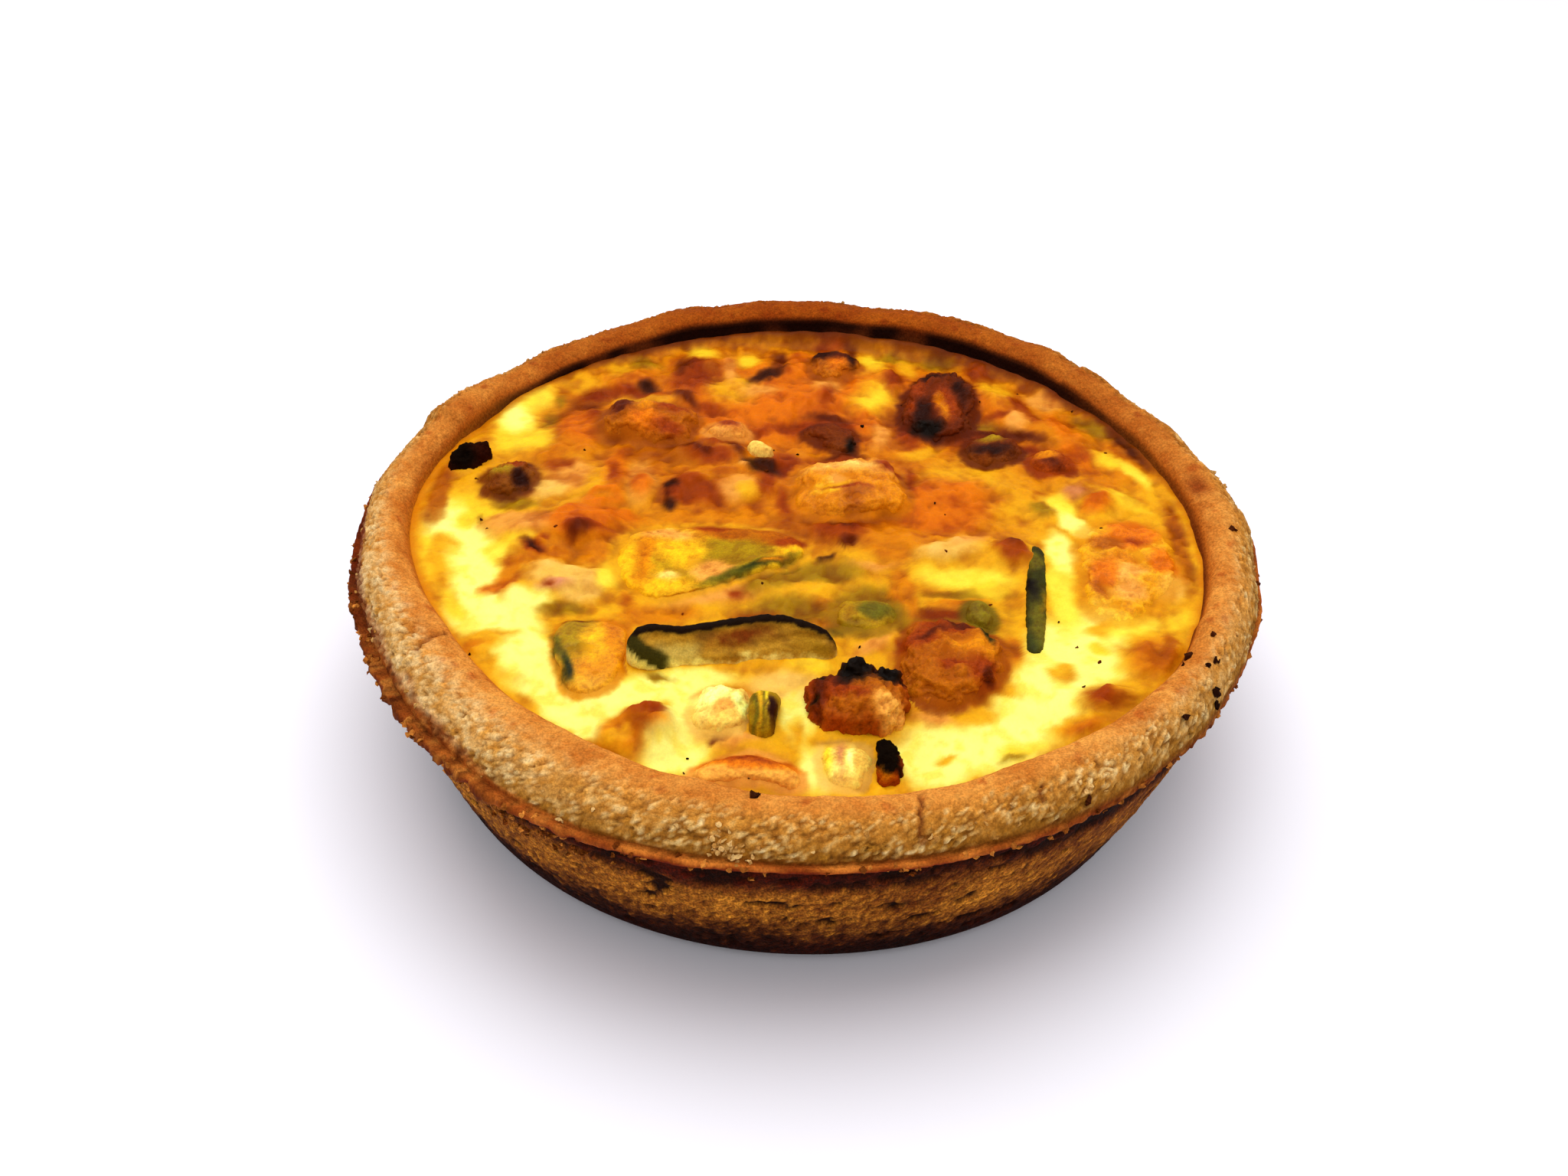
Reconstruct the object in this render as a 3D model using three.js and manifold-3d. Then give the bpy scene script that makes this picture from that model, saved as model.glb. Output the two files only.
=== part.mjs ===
// A small deep quiche for one person, in millimetres, +Z up, standing on its flat foot.
// An open shortcrust shell with a folded rim holds a baked egg custard. Roasted vegetables, mushrooms and
// fish stand out of the custard. Every piece is a closed solid of its own.
import * as THREE from "three";
import { mergeVertices } from "three/addons/utils/BufferGeometryUtils.js";
import Module from "manifold-3d";

const wasm = await Module();
wasm.setup();

// Driving dimensions
const rimRadius = 60; // to the outer edge of the ledge
const rimInnerRadius = 52.2; // to the inner edge of the rim
const rimHeight = 30.8; // of its crest above the table
const ledgeHeight = 26.5;
const ledgeThickness = 1.4;
const footRadius = 50.8;
const footRounding = 1.8;
const rimShift = 1.2; // the rim sits this far to the right (+X) of the foot
const floorThickness = 4.6;
const wallThickness = 5.2;
const wallBulge = 0.5; // of the outer wall, beyond a straight cone
const ledgeOverhang = 1.7; // of the ledge, beyond the wall
const wallTopHeight = 27.4; // on the inside, under the rounding of the rim
const underRim = 0.3; // how far the rim's inner edge stands back there
const innerCorner = 2.5; // bevel between the inner wall and the floor
const custardHeightMiddle = 28; // it stands higher there than along most of the shell
const clearance = 0.3; // between pieces that touch

// Fineness of the meshes
const turnSteps = 96;
const custardTurnSteps = 80;
const custardRings = 16;

// How far the hand-pressed rim strays from round and level, every 30 degrees anticlockwise from +X
const outerStray = [0.3, 0.2, 0.2, 0.0, -0.8, -0.5, 0.2, -0.4, 1.1, -0.4, -0.3, -0.1];
const innerStray = [0.7, 0.4, 0.3, 0.0, -0.4, 0.4, 1.3, -1.3, -1.6, -0.3, -0.5, 0.8];
const crestStray = [0.2, -0.3, 0.3, 0.1, -0.2, -0.5, -0.1, 0.2, 0.0, -0.2, 0.1, 0.1];

// Height at which the custard meets the shell, at the same places
const custardEdgeHeights = [27.5, 26.9, 26.3, 25.8, 27.0, 27.9, 28.0, 27.8, 27.6, 27.6, 27.6, 27.5];

// Where folds of dough overlap, the rim steps up: its angle in degrees, its rise in millimetres, and the
// degrees over which it fades again, clockwise
const overlaps = [
  { angle: 161, rise: 1.0, spread: 16 },
  { angle: 43, rise: 0.8, spread: 9 },
  { angle: 4, rise: 0.4, spread: 7 },
  { angle: 340, rise: 0.4, spread: 6 },
];
const overlapStep = 1.5; // degrees over which it rises

// The rim's section: share of the way from its inner edge to the ledge, and depth below the crest
const rimSection = [
  [0.0, 1.5],
  [0.12, 0.5],
  [0.3, 0.0],
  [0.52, 0.25],
  [0.7, 0.95],
  [0.84, 2.1],
  [0.91, 3.3],
  [0.945, 4.3],
];

// Lumps and hollows in the custard, where something lies just under its skin or it has blistered: their
// middle, half length, half width, the turn of their length in degrees, and rise
const lumps = [
  { at: [-17, -40], long: 7, wide: 5, turn: -25, rise: 1.5 },
  { at: [-4, -41], long: 7, wide: 4, turn: 0, rise: 1.6 },
  { at: [43.5, -26], long: 6, wide: 4.5, turn: 50, rise: 1.2 },
  { at: [36.5, -33], long: 6, wide: 3.5, turn: 30, rise: 1.0 },
  { at: [-22, 22], long: 9, wide: 6, turn: -10, rise: 2.3 },
  { at: [-26, 5], long: 7, wide: 5, turn: 10, rise: 1.7 },
  { at: [-29, -4], long: 7, wide: 5, turn: -30, rise: 2.0 },
  { at: [-35, -8], long: 6, wide: 4.5, turn: 60, rise: 1.7 },
  { at: [-32, -15], long: 6, wide: 4, turn: 20, rise: 1.2 },
  { at: [-16, 31], long: 8, wide: 4.5, turn: 15, rise: 2.0 },
  { at: [-27, 34], long: 6, wide: 4, turn: 30, rise: 1.4 },
  { at: [-4, 40], long: 7, wide: 4, turn: 35, rise: 2.2 },
  { at: [-16, 42], long: 5, wide: 4, turn: -20, rise: 1.6 },
  { at: [12, 40], long: 5, wide: 5, turn: 0, rise: 1.5 },
  { at: [1, 32], long: 7, wide: 5, turn: 0, rise: 2.1 },
  { at: [29, 32], long: 8, wide: 4, turn: -35, rise: 1.9 },
  { at: [37, 24], long: 7, wide: 3.5, turn: -40, rise: 1.4 },
  { at: [41, 10], long: 7, wide: 3, turn: -50, rise: 1.2 },
  { at: [-9, 8], long: 6, wide: 5, turn: 30, rise: 1.7 },
  { at: [-16, 8], long: 5, wide: 4, turn: 0, rise: 1.4 },
  { at: [-12, 14], long: 6, wide: 4, turn: -15, rise: 1.9 },
  { at: [-33, 16], long: 6, wide: 5, turn: 0, rise: 1.2 },
  { at: [22, 8], long: 10, wide: 7, turn: 10, rise: 1.1 },
  { at: [18, -6], long: 8, wide: 5, turn: -10, rise: 1.4 },
  { at: [27, -6], long: 4.5, wide: 4, turn: 0, rise: 1.6 },
  { at: [8, -5], long: 7, wide: 4, turn: 0, rise: 1.3 },
  { at: [-3, -15], long: 9, wide: 4, turn: -5, rise: 1.2 },
  // Smooth pools lie lower
  { at: [13, -45], long: 6, wide: 4, turn: 10, rise: -0.9 },
  { at: [27, -38], long: 9, wide: 5, turn: 25, rise: -0.9 },
  { at: [35, -18], long: 6, wide: 5, turn: 60, rise: -0.8 },
  { at: [-42, -8], long: 9, wide: 4, turn: 100, rise: -0.8 },
  { at: [-36, 27], long: 7, wide: 5, turn: 40, rise: -0.9 },
  { at: [-27, -37], long: 9, wide: 4, turn: -45, rise: -0.8 },
];

// Chunks that stand out of the custard: their middle, size, and turn in degrees
const roastedChunks = {
  roasted_chunk_right: {
    at: [18.7, -28.0],
    size: [10.8, 13.6, 4.4],
    turn: -16,
    boxy: 3.2,
    sunk: 0.1,
    detail: 3,
  },
  roasted_chunk_back_left: { at: [-22.0, 21.0], size: [13.5, 8.6, 4.2], turn: -8, sunk: 0.35, detail: 3 },
  roasted_chunk_back: { at: [4.8, 42.6], size: [7.4, 7.0, 4.4], turn: 12 },
  roasted_lump_right: { at: [35.8, 16.4], size: [5.4, 5.4, 3.4] },
};
const fishPieces = {
  fish_piece_front: { at: [-8.4, -38.4], size: [6.6, 7.6, 3.4], turn: -6, boxy: 3.4 },
  fish_piece_right: { at: [43.2, -7.4], size: [11.4, 20.5, 4.2], turn: -14, uneven: 0.14, detail: 3 },
};
const palePieces = {
  potato_chunk_centre: { at: [6.8, 6.6], size: [15.4, 12.4, 4.2], turn: 14, boxy: 3.6, detail: 3 },
  onion_piece_front: { at: [6.0, -45.6], size: [5.6, 6.8, 3.0] },
  onion_piece_centre: { at: [-10.9, 20.6], size: [6.4, 4.6, 3.0], turn: 8 },
  onion_bead_centre: { at: [-5.7, 15.2], size: [3.8, 3.4, 2.6], sunk: -0.1 },
};
const mushroomPieces = {
  mushroom_back: { at: [20.8, 30.7], size: [9.0, 17.6, 5.6], turn: -5, boxy: 3, sunk: 0.1, detail: 3 },
  mushroom_piece_right: { at: [27.7, 19.2], size: [8.2, 7.4, 3.6], turn: -10, uneven: 0.14 },
  mushroom_piece_left: { at: [-40.0, 6.8], size: [6.8, 6.6, 3.8], turn: 20, uneven: 0.14 },
  mushroom_piece_centre: { at: [4.6, 20.8], size: [9.2, 5.4, 3.4], turn: -36, uneven: 0.16 },
};
const courgetteBits = {
  courgette_bit_centre: { at: [8.6, -19.4], size: [7.8, 6.0, 3.0], turn: -8 },
  courgette_bit_right: { at: [23.0, -18.9], size: [3.4, 4.6, 3.4], turn: 14 },
};

// One chunk has a charred crown of two peaks
const crownedBody = {
  at: [7.4, -36.8],
  size: [12.2, 8.0, 4.8],
  turn: 4,
  boxy: 2.9,
  uneven: 0.09,
  sunk: 0.12,
  detail: 3,
};
const crownPeaks = [
  { at: [7.4, -33.6], size: [5.2, 3.2, 4.0], uneven: 0.16, sunk: -0.16 },
  { at: [10.9, -33.8], size: [3.8, 3.0, 3.6], uneven: 0.16, sunk: -0.14 },
];

// Slices and strips follow a path over the custard. Each stop gives a place, the height of the piece's middle
// above the custard, its width across the path, and its thickness.
const courgetteSlices = {
  courgette_slice_front: {
    path: [
      [-20.3, -29.3, 0.7, 4.2, 2.6],
      [-15.5, -28.1, 0.9, 5.2, 2.8],
      [-9.3, -27.1, 1.1, 6.2, 2.8],
      [-3.0, -26.2, 1.2, 6.8, 2.8],
      [2.2, -26.4, 0.9, 5.4, 2.6],
      [5.2, -27.4, 0.4, 3.0, 2.4],
    ],
    lean: 40,
  },
  courgette_slice_back: {
    path: [
      [-22.8, -12.6, 0.4, 12.0, 2.6],
      [-18.0, -10.6, 0.8, 15.0, 3.0],
      [-12.0, -9.0, 1.1, 13.0, 3.2],
      [-6.0, -7.6, 1.1, 9.6, 3.2],
      [0.6, -6.8, 0.6, 5.6, 2.8],
    ],
    lean: -5,
  },
  pepper_piece_left: {
    path: [
      [-24.6, -35.4, 0.4, 4.2, 2.2],
      [-24.4, -31.6, 0.8, 7.2, 2.8],
      [-24.8, -27.6, 1.1, 9.0, 3.0],
      [-25.2, -22.6, 0.5, 8.4, 2.4],
    ],
    lean: 8,
  },
};
const pepperStrips = {
  pepper_strip_front: {
    path: [
      [-11.2, -48.9, 0.2, 2.0, 2.0],
      [-8.4, -47.6, 0.8, 2.8, 2.2],
      [-5.0, -46.9, 1.1, 3.2, 2.4],
      [-1.8, -47.3, 0.8, 2.8, 2.2],
      [1.0, -48.6, 0.2, 2.0, 2.0],
    ],
    lean: 12,
    sides: 10,
  },
};
const greenStrips = {
  bean_right: {
    path: [
      [31.6, -4.2, 0.5, 2.4, 2.2],
      [30.9, -11.4, 0.9, 2.6, 2.4],
      [30.2, -18.4, 0.9, 2.6, 2.4],
      [29.2, -26.0, 0.4, 2.2, 2.0],
    ],
    boxy: 2,
    sides: 10,
    roundEnd: 0.05,
  },
  leek_piece_front: {
    path: [
      [-3.6, -42.8, 0.2, 2.8, 2.4],
      [-3.5, -40.4, 1.6, 3.4, 2.8],
      [-3.3, -38.0, 2.0, 3.6, 2.8],
      [-2.9, -35.8, 0.8, 3.0, 2.4],
    ],
    boxy: 2.2,
    steps: 11,
  },
};
const burntTips = {
  burnt_tip_left: {
    path: [
      [-48.6, 8.4, 0.4, 1.8, 1.4],
      [-46.4, 10.0, 1.1, 4.4, 1.6],
      [-43.6, 12.6, 1.1, 2.0, 1.2],
    ],
    lean: 50,
    sides: 8,
    steps: 9,
  },
  burnt_tip_front: {
    path: [
      [10.4, -48.8, 0.3, 1.8, 1.4],
      [10.9, -45.8, 1.7, 3.6, 1.6],
      [10.3, -42.4, 1.2, 1.8, 1.2],
    ],
    lean: 35,
    sides: 8,
    steps: 9,
  },
};

const degrees = Math.PI / 180;
const upwards = new THREE.Vector3(0, 0, 1);
const ease = (t) => t * t * (3 - 2 * t);
const clamp = (value) => Math.min(1, Math.max(0, value));
const blend = (from, to, share) => from + (to - from) * share;
const roundSine = (waves, angle, phase = 0) => Math.sin(waves * angle * degrees + phase);

// A smooth closed curve through evenly spaced values, read at an angle in degrees
function around(values, angle) {
  const place = ((((angle / 360) % 1) + 1) % 1) * values.length;
  const first = Math.floor(place);
  const t = place - first;
  const [a, b, c, d] = [-1, 0, 1, 2].map((k) => values[(first + k + values.length) % values.length]);
  return b + 0.5 * t * (c - a + t * (2 * a - 5 * b + 4 * c - d + t * (3 * (b - c) + d - a)));
}

function overlapRise(angle) {
  return overlaps.reduce((sum, { angle: start, rise, spread }) => {
    const past = (((start - angle) % 360) + 360) % 360;
    const faded = ease(clamp((past - overlapStep) / spread));
    return sum + rise * ease(clamp(past / overlapStep)) * (1 - faded);
  }, 0);
}

// Small waves along the rim, left by fingers
function fingerWaves(angle) {
  return 0.22 * roundSine(7, angle, 1.1) + 0.14 * roundSine(17, angle) + 0.1 * roundSine(29, angle, 2);
}

function ledgeRadiusAt(angle) {
  const shifted = rimRadius + rimShift * Math.cos(angle * degrees);
  return shifted + around(outerStray, angle) + 0.8 * fingerWaves(angle);
}

function innerRadiusAt(angle) {
  const shifted = rimInnerRadius + rimShift * Math.cos(angle * degrees);
  return shifted + around(innerStray, angle) - 0.5 * overlapRise(angle);
}

function crestHeightAt(angle) {
  return rimHeight + around(crestStray, angle) + fingerWaves(angle) + overlapRise(angle);
}

// The shell's inner wall leans in towards the floor, as the outer one does
function innerWallRadius(angle, height) {
  const share = clamp((height - floorThickness) / (wallTopHeight - floorThickness));
  return blend(footRadius - wallThickness, innerRadiusAt(angle) - underRim, share);
}

// Outline of the shell's section at one angle, from under the middle round to the inner floor
function shellSection(angle) {
  const ledge = ledgeRadiusAt(angle);
  const inner = innerRadiusAt(angle);
  const crest = crestHeightAt(angle);
  const ledgeTop = ledgeHeight + 0.4 * fingerWaves(angle);
  const wallTop = ledge - ledgeOverhang;
  const wall = [1 / 3, 2 / 3].map((share) => [
    blend(footRadius, wallTop, share) + wallBulge,
    blend(footRounding, ledgeTop - ledgeThickness, share),
  ]);
  const rim = rimSection.map(([across, drop]) => [blend(inner, ledge, across), crest - drop]);
  const innerHeights = [wallTopHeight, wallTopHeight / 2, floorThickness + innerCorner];
  const innerWall = innerHeights.map((z) => [innerWallRadius(angle, z), z]);
  return [
    [0, 0],
    [footRadius - footRounding, 0],
    [footRadius - footRounding / 3, footRounding / 3],
    [footRadius, footRounding],
    ...wall,
    [wallTop, ledgeTop - ledgeThickness],
    [ledge - 0.4, ledgeTop - ledgeThickness * 0.8],
    [ledge, ledgeTop - ledgeThickness * 0.4],
    [ledge - 0.15, ledgeTop],
    ...rim.reverse(),
    ...innerWall,
    [footRadius - wallThickness - innerCorner, floorThickness],
    [0, floorThickness],
  ];
}

function meshFrom(positions, faces) {
  const geometry = new THREE.BufferGeometry();
  geometry.setAttribute("position", new THREE.Float32BufferAttribute(positions, 3));
  geometry.setIndex(faces);
  return geometry;
}

// Closed mesh from a section that starts and ends on the axis, given at each step of the turn
function turned(sectionAt, steps) {
  const sections = Array.from({ length: steps }, (_, i) => sectionAt((i / steps) * 360));
  const rings = sections[0].length - 2;
  const positions = [];
  sections.forEach((section, i) => {
    const turn = (i / steps) * 2 * Math.PI;
    for (const [r, z] of section.slice(1, -1)) positions.push(r * Math.cos(turn), r * Math.sin(turn), z);
  });
  const [low, high] = [steps * rings, steps * rings + 1];
  positions.push(0, 0, sections[0][0][1], 0, 0, sections[0][rings + 1][1]);
  const faces = [];
  for (let i = 0; i < steps; i++) {
    const [here, next] = [i * rings, ((i + 1) % steps) * rings];
    faces.push(low, next, here);
    for (let k = 0; k < rings - 1; k++) {
      faces.push(here + k, next + k, next + k + 1, here + k, next + k + 1, here + k + 1);
    }
    faces.push(here + rings - 1, next + rings - 1, high);
  }
  return meshFrom(positions, faces);
}

// How much the lumps lift the custard at a place
function lumpsAt(x, y) {
  return lumps.reduce((sum, { at: [cx, cy], long, wide, turn, rise }) => {
    const [c, s] = [Math.cos(turn * degrees), Math.sin(turn * degrees)];
    const along = ((x - cx) * c + (y - cy) * s) / long;
    const across = ((y - cy) * c - (x - cx) * s) / wide;
    const inside = clamp(1 - (along * along + across * across) / 1.7);
    return sum + rise * inside * inside;
  }, 0);
}

// Height of the custard's top at a place. It lies smooth along the shell.
function custardHeight(x, y) {
  const away = Math.hypot(x, y) / rimInnerRadius;
  const edge = around(custardEdgeHeights, Math.atan2(y, x) / degrees);
  const ripple = 0.25 * Math.sin(x / 2.9 + 1.3 * Math.sin(y / 4.1)) * Math.sin(y / 3.3 + 0.9);
  const smoothed = ease(clamp((away - 0.86) / 0.12));
  return blend(custardHeightMiddle, edge, ease(clamp(away))) + (1 - smoothed) * (lumpsAt(x, y) + ripple);
}

// The custard keeps clear of the shell. A higher and wider copy of it trims what stands on it.
function custardGeometry(raise, widen) {
  const floor = floorThickness + clearance;
  const cornerHeight = floor + 1.6 * innerCorner;
  return turned((angle) => {
    const edge = innerWallRadius(angle, around(custardEdgeHeights, angle)) - 2.7 * clearance + widen;
    const section = [
      [0, floor],
      [footRadius - wallThickness - 1.2 * innerCorner, floor],
      [innerWallRadius(angle, cornerHeight) - 2 * clearance + widen, cornerHeight],
    ];
    for (let ring = custardRings; ring >= 0; ring--) {
      const r = (edge * ring) / custardRings;
      const height = custardHeight(r * Math.cos(angle * degrees), r * Math.sin(angle * degrees));
      section.push([r, height + raise]);
    }
    return section;
  }, custardTurnSteps);
}

// three.js geometry to a manifold-3d solid and back
function solidOf(geometry) {
  const bare = geometry.clone();
  for (const name of ["normal", "uv"]) bare.deleteAttribute(name);
  const merged = mergeVertices(bare, 1e-4);
  return new wasm.Manifold(
    new wasm.Mesh({
      numProp: 3,
      vertProperties: new Float32Array(merged.attributes.position.array),
      triVerts: new Uint32Array(merged.index.array),
    }),
  );
}

function geometryOf(solid) {
  const { numProp, numVert, vertProperties, triVerts } = solid.getMesh();
  const positions = [];
  for (let i = 0; i < numVert; i++) positions.push(...vertProperties.subarray(i * numProp, i * numProp + 3));
  return meshFrom(positions, Array.from(triVerts));
}

// What a piece keeps above the custard, clear of it
const trimmer = solidOf(custardGeometry(1.5 * clearance, 0.8 * wallThickness));
function standingOut(solid) {
  const bodies = solid.subtract(trimmer).decompose();
  return geometryOf(bodies.reduce((a, b) => (a.volume() > b.volume() ? a : b)));
}

// A chunk is a rounded box, uneven in a way that follows from its place. boxy 2 is an ellipsoid, and more
// is squarer. sunk is the share of its height that its middle lies under the custard.
function chunk({ at: [x, y], size, turn = 0, boxy = 2.5, uneven = 0.12, sunk = 0.2, detail = 2 }) {
  const [length, width, height] = size;
  const seed = 0.7 * x + 1.3 * y;
  const geometry = new THREE.IcosahedronGeometry(1, detail);
  const position = geometry.getAttribute("position");
  const point = new THREE.Vector3();
  for (let i = 0; i < position.count; i++) {
    const { x: a, y: b, z: c } = point.fromBufferAttribute(position, i).normalize();
    const reach = (Math.abs(a) ** boxy + Math.abs(b) ** boxy + Math.abs(c) ** boxy) ** (-1 / boxy);
    const broad = Math.sin(3.1 * a + seed) * Math.sin(2.7 * b + 2 * seed);
    const fine = Math.sin(5.3 * b + 3 * seed) * Math.sin(4.9 * c + a + seed);
    point.multiplyScalar(reach * (1 + uneven * (broad + 0.6 * fine)));
    position.setXYZ(i, (point.x * length) / 2, (point.y * width) / 2, point.z * height);
  }
  geometry.rotateZ(turn * degrees);
  geometry.translate(x, y, custardHeight(x, y) - sunk * height);
  return solidOf(geometry);
}

// A strip, stalk or slice along a path. lean lifts the edge at the left of the path, in degrees, and
// roundEnd is the share of its length that rounds off at each end.
function strip({ path, lean = 0, boxy = 3, sides = 12, steps = 12, roundEnd = 0.12 }) {
  const stops = path.map(([x, y, above]) => new THREE.Vector3(x, y, custardHeight(x, y) + above));
  const girths = path.map(([, , , width, thickness]) => new THREE.Vector3(width, thickness, 0));
  const [spine, girth] = [stops, girths].map((points) => new THREE.CatmullRomCurve3(points));
  const [leanCos, leanSin] = [Math.cos(lean * degrees), Math.sin(lean * degrees)];
  const power = (value) => Math.sign(value) * Math.abs(value) ** (2 / boxy);
  const positions = [];
  for (let i = 1; i < steps; i++) {
    const t = (1 - Math.cos((Math.PI * i) / steps)) / 2;
    const toEnd = clamp(Math.min(t, 1 - t) / roundEnd);
    const shrink = Math.sqrt(1 - (1 - toEnd) ** 2);
    const centre = spine.getPoint(t);
    const across = spine.getTangent(t).cross(upwards).setZ(0).normalize();
    const { x: width, y: thickness } = girth.getPoint(t);
    for (let k = 0; k < sides; k++) {
      const turn = (2 * Math.PI * k) / sides;
      const u = (power(Math.cos(turn)) * width * shrink) / 2;
      const v = (power(Math.sin(turn)) * thickness * shrink) / 2;
      const [outward, upward] = [u * leanCos + v * leanSin, v * leanCos - u * leanSin];
      positions.push(centre.x + across.x * outward, centre.y + across.y * outward, centre.z + upward);
    }
  }
  const lastRow = (steps - 2) * sides;
  const [start, end] = [lastRow + sides, lastRow + sides + 1];
  positions.push(...spine.getPoint(0), ...spine.getPoint(1));
  const faces = [];
  for (let k = 0; k < sides; k++) {
    const next = (k + 1) % sides;
    faces.push(start, k, next);
    for (let row = 0; row < lastRow; row += sides) {
      const [a, b, c, d] = [row + k, row + next, row + sides + next, row + sides + k];
      faces.push(a, c, b, a, d, c);
    }
    faces.push(end, lastRow + next, lastRow + k);
  }
  return solidOf(meshFrom(positions, faces));
}

// Materials
const finish = (color, roughness) => new THREE.MeshStandardMaterial({ color, roughness, metalness: 0 });
const bakedDough = finish("#b9834a", 0.8);
const bakedCustard = finish("#f0c152", 0.45);
const softCourgette = finish("#8f7a26", 0.45);
const roasted = finish("#b5611c", 0.5);
const burnt = finish("#1b0d07", 0.7);
const paleFlesh = finish("#dcae62", 0.45);
const orangeFlesh = finish("#e08a3a", 0.45);
const greenVegetable = finish("#6f7420", 0.45);
const mushroomBrown = finish("#5a2a10", 0.55);

const quiche = new THREE.Group();
function add(name, geometry, material) {
  const mesh = new THREE.Mesh(geometry, material);
  mesh.name = name;
  quiche.add(mesh);
}

function addAll(pieces, shape, material) {
  for (const [name, measures] of Object.entries(pieces)) add(name, standingOut(shape(measures)), material);
}

add("crust", turned(shellSection, turnSteps), bakedDough);
add("custard", custardGeometry(0, 0), bakedCustard);

addAll(courgetteSlices, strip, softCourgette);
addAll(pepperStrips, strip, orangeFlesh);
addAll(greenStrips, strip, greenVegetable);
addAll(burntTips, strip, burnt);
addAll(roastedChunks, chunk, roasted);
addAll(fishPieces, chunk, orangeFlesh);
addAll(palePieces, chunk, paleFlesh);
addAll(mushroomPieces, chunk, mushroomBrown);
addAll(courgetteBits, chunk, greenVegetable);

const crowned = crownPeaks.reduce((solid, peak) => solid.add(chunk(peak)), chunk(crownedBody));
add("charred_chunk_front", standingOut(crowned), roasted);

// The origin is the middle of the foot of the whole
const reach = new THREE.Box3().setFromObject(quiche);
const middle = reach.getCenter(new THREE.Vector3());
quiche.position.set(-middle.x, -middle.y, -reach.min.z);

export default quiche;
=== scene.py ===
# %% [markdown]
# # A small deep quiche
#
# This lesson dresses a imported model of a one-person quiche: a folded shortcrust shell, a baked egg
# custard, and roasted vegetables, mushrooms and fish that stand out of it. Lengths in the tables are
# millimetres, because a cook would measure that way, and they become metres only when a mesh is made.
#
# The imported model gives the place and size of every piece. Each one is replaced here by a finer piece of
# the same form, so that crumbs, pores and blisters are real shape and not only paint.

import math

import bmesh
import bpy
import numpy as np
from mathutils import Matrix, Vector
from mathutils.bvhtree import BVHTree
from mathutils.kdtree import KDTree


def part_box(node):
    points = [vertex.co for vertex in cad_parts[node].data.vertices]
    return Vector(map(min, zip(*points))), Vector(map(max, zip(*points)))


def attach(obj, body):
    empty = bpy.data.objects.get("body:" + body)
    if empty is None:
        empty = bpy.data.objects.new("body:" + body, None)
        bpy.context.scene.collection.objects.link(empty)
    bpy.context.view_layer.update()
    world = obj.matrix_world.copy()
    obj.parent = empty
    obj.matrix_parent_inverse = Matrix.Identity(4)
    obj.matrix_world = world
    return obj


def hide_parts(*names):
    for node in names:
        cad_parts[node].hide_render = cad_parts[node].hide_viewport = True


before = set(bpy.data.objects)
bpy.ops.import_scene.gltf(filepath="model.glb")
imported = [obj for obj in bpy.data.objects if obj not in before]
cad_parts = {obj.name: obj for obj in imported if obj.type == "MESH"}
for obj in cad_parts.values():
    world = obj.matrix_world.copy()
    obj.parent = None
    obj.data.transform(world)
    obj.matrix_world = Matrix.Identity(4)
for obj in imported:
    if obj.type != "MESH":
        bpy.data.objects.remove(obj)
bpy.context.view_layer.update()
scene = bpy.context.scene
MM = 0.001
print("pieces in the packed model:", len(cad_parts))

# %% [markdown]
# ## Camera, table and light
#
# The quiche is seen from about 39 degrees above the table, from the front, on a white table under a large
# soft light. A wide lamp overhead and a little behind, with a bright white room around it, leaves only a
# soft grey shadow below the front of the crust. The colours are meant to come out as painted, so the plain
# Standard view is used instead of a filmic one.

# %% Camera
IMAGE_WIDTH = 2048
FOCAL_PIXELS = 2000
SENSOR_WIDTH = 36
CAMERA_PLACE = (-3.086, -166.781, 150.996)
CAMERA_RIGHT = (0.99932, 0.02315, 0.02860)
CAMERA_UP = (-0.03680, 0.62876, 0.77673)


def aim(place, right, up):
    """The matrix of a camera at a place, from its sideways and upward directions."""
    side = Vector(right).normalized()
    rise = (Vector(up) - side * Vector(up).dot(side)).normalized()
    matrix = Matrix((side, rise, side.cross(rise))).transposed().to_4x4()
    matrix.translation = Vector(place) * MM
    return matrix


lens = bpy.data.cameras.new("camera")
lens.sensor_width = SENSOR_WIDTH
lens.lens = FOCAL_PIXELS / IMAGE_WIDTH * SENSOR_WIDTH
camera = bpy.data.objects.new("camera", lens)
scene.collection.objects.link(camera)
camera.matrix_world = aim(CAMERA_PLACE, CAMERA_RIGHT, CAMERA_UP)
scene.camera = camera
scene.view_settings.view_transform = "Standard"
print("lens", round(lens.lens, 2), "mm")

# %% Light
ROOM_BRIGHTNESS = 0.72
LAMP_POWER = 2.6
LAMP_SIZE = 0.55
LAMP_PLACE = (-0.03, 0.1, 0.6)

room = bpy.data.worlds.new("room")
scene.world = room
room.use_nodes = True
room.node_tree.nodes["Background"].inputs["Color"].default_value = (1, 1, 1, 1)
room.node_tree.nodes["Background"].inputs["Strength"].default_value = ROOM_BRIGHTNESS

lamp_data = bpy.data.lights.new("lamp", "AREA")
lamp_data.energy = LAMP_POWER
lamp_data.size = LAMP_SIZE
lamp = bpy.data.objects.new("lamp", lamp_data)
scene.collection.objects.link(lamp)
lamp.location = LAMP_PLACE
lamp.rotation_euler = (-Vector(LAMP_PLACE)).to_track_quat("-Z", "Y").to_euler()
print("lamp", LAMP_POWER, "W, room", ROOM_BRIGHTNESS)

# %% [markdown]
# ## Helpers for shape
#
# Baked food is uneven at every size. One smooth random function of place gives all of it: added up at
# several sizes it makes crumb and blisters, and it also bends the edges of painted patches so that none
# looks drawn. Random numbers come from a fixed rule for each cell of space, so the quiche is the same each
# time.


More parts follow.
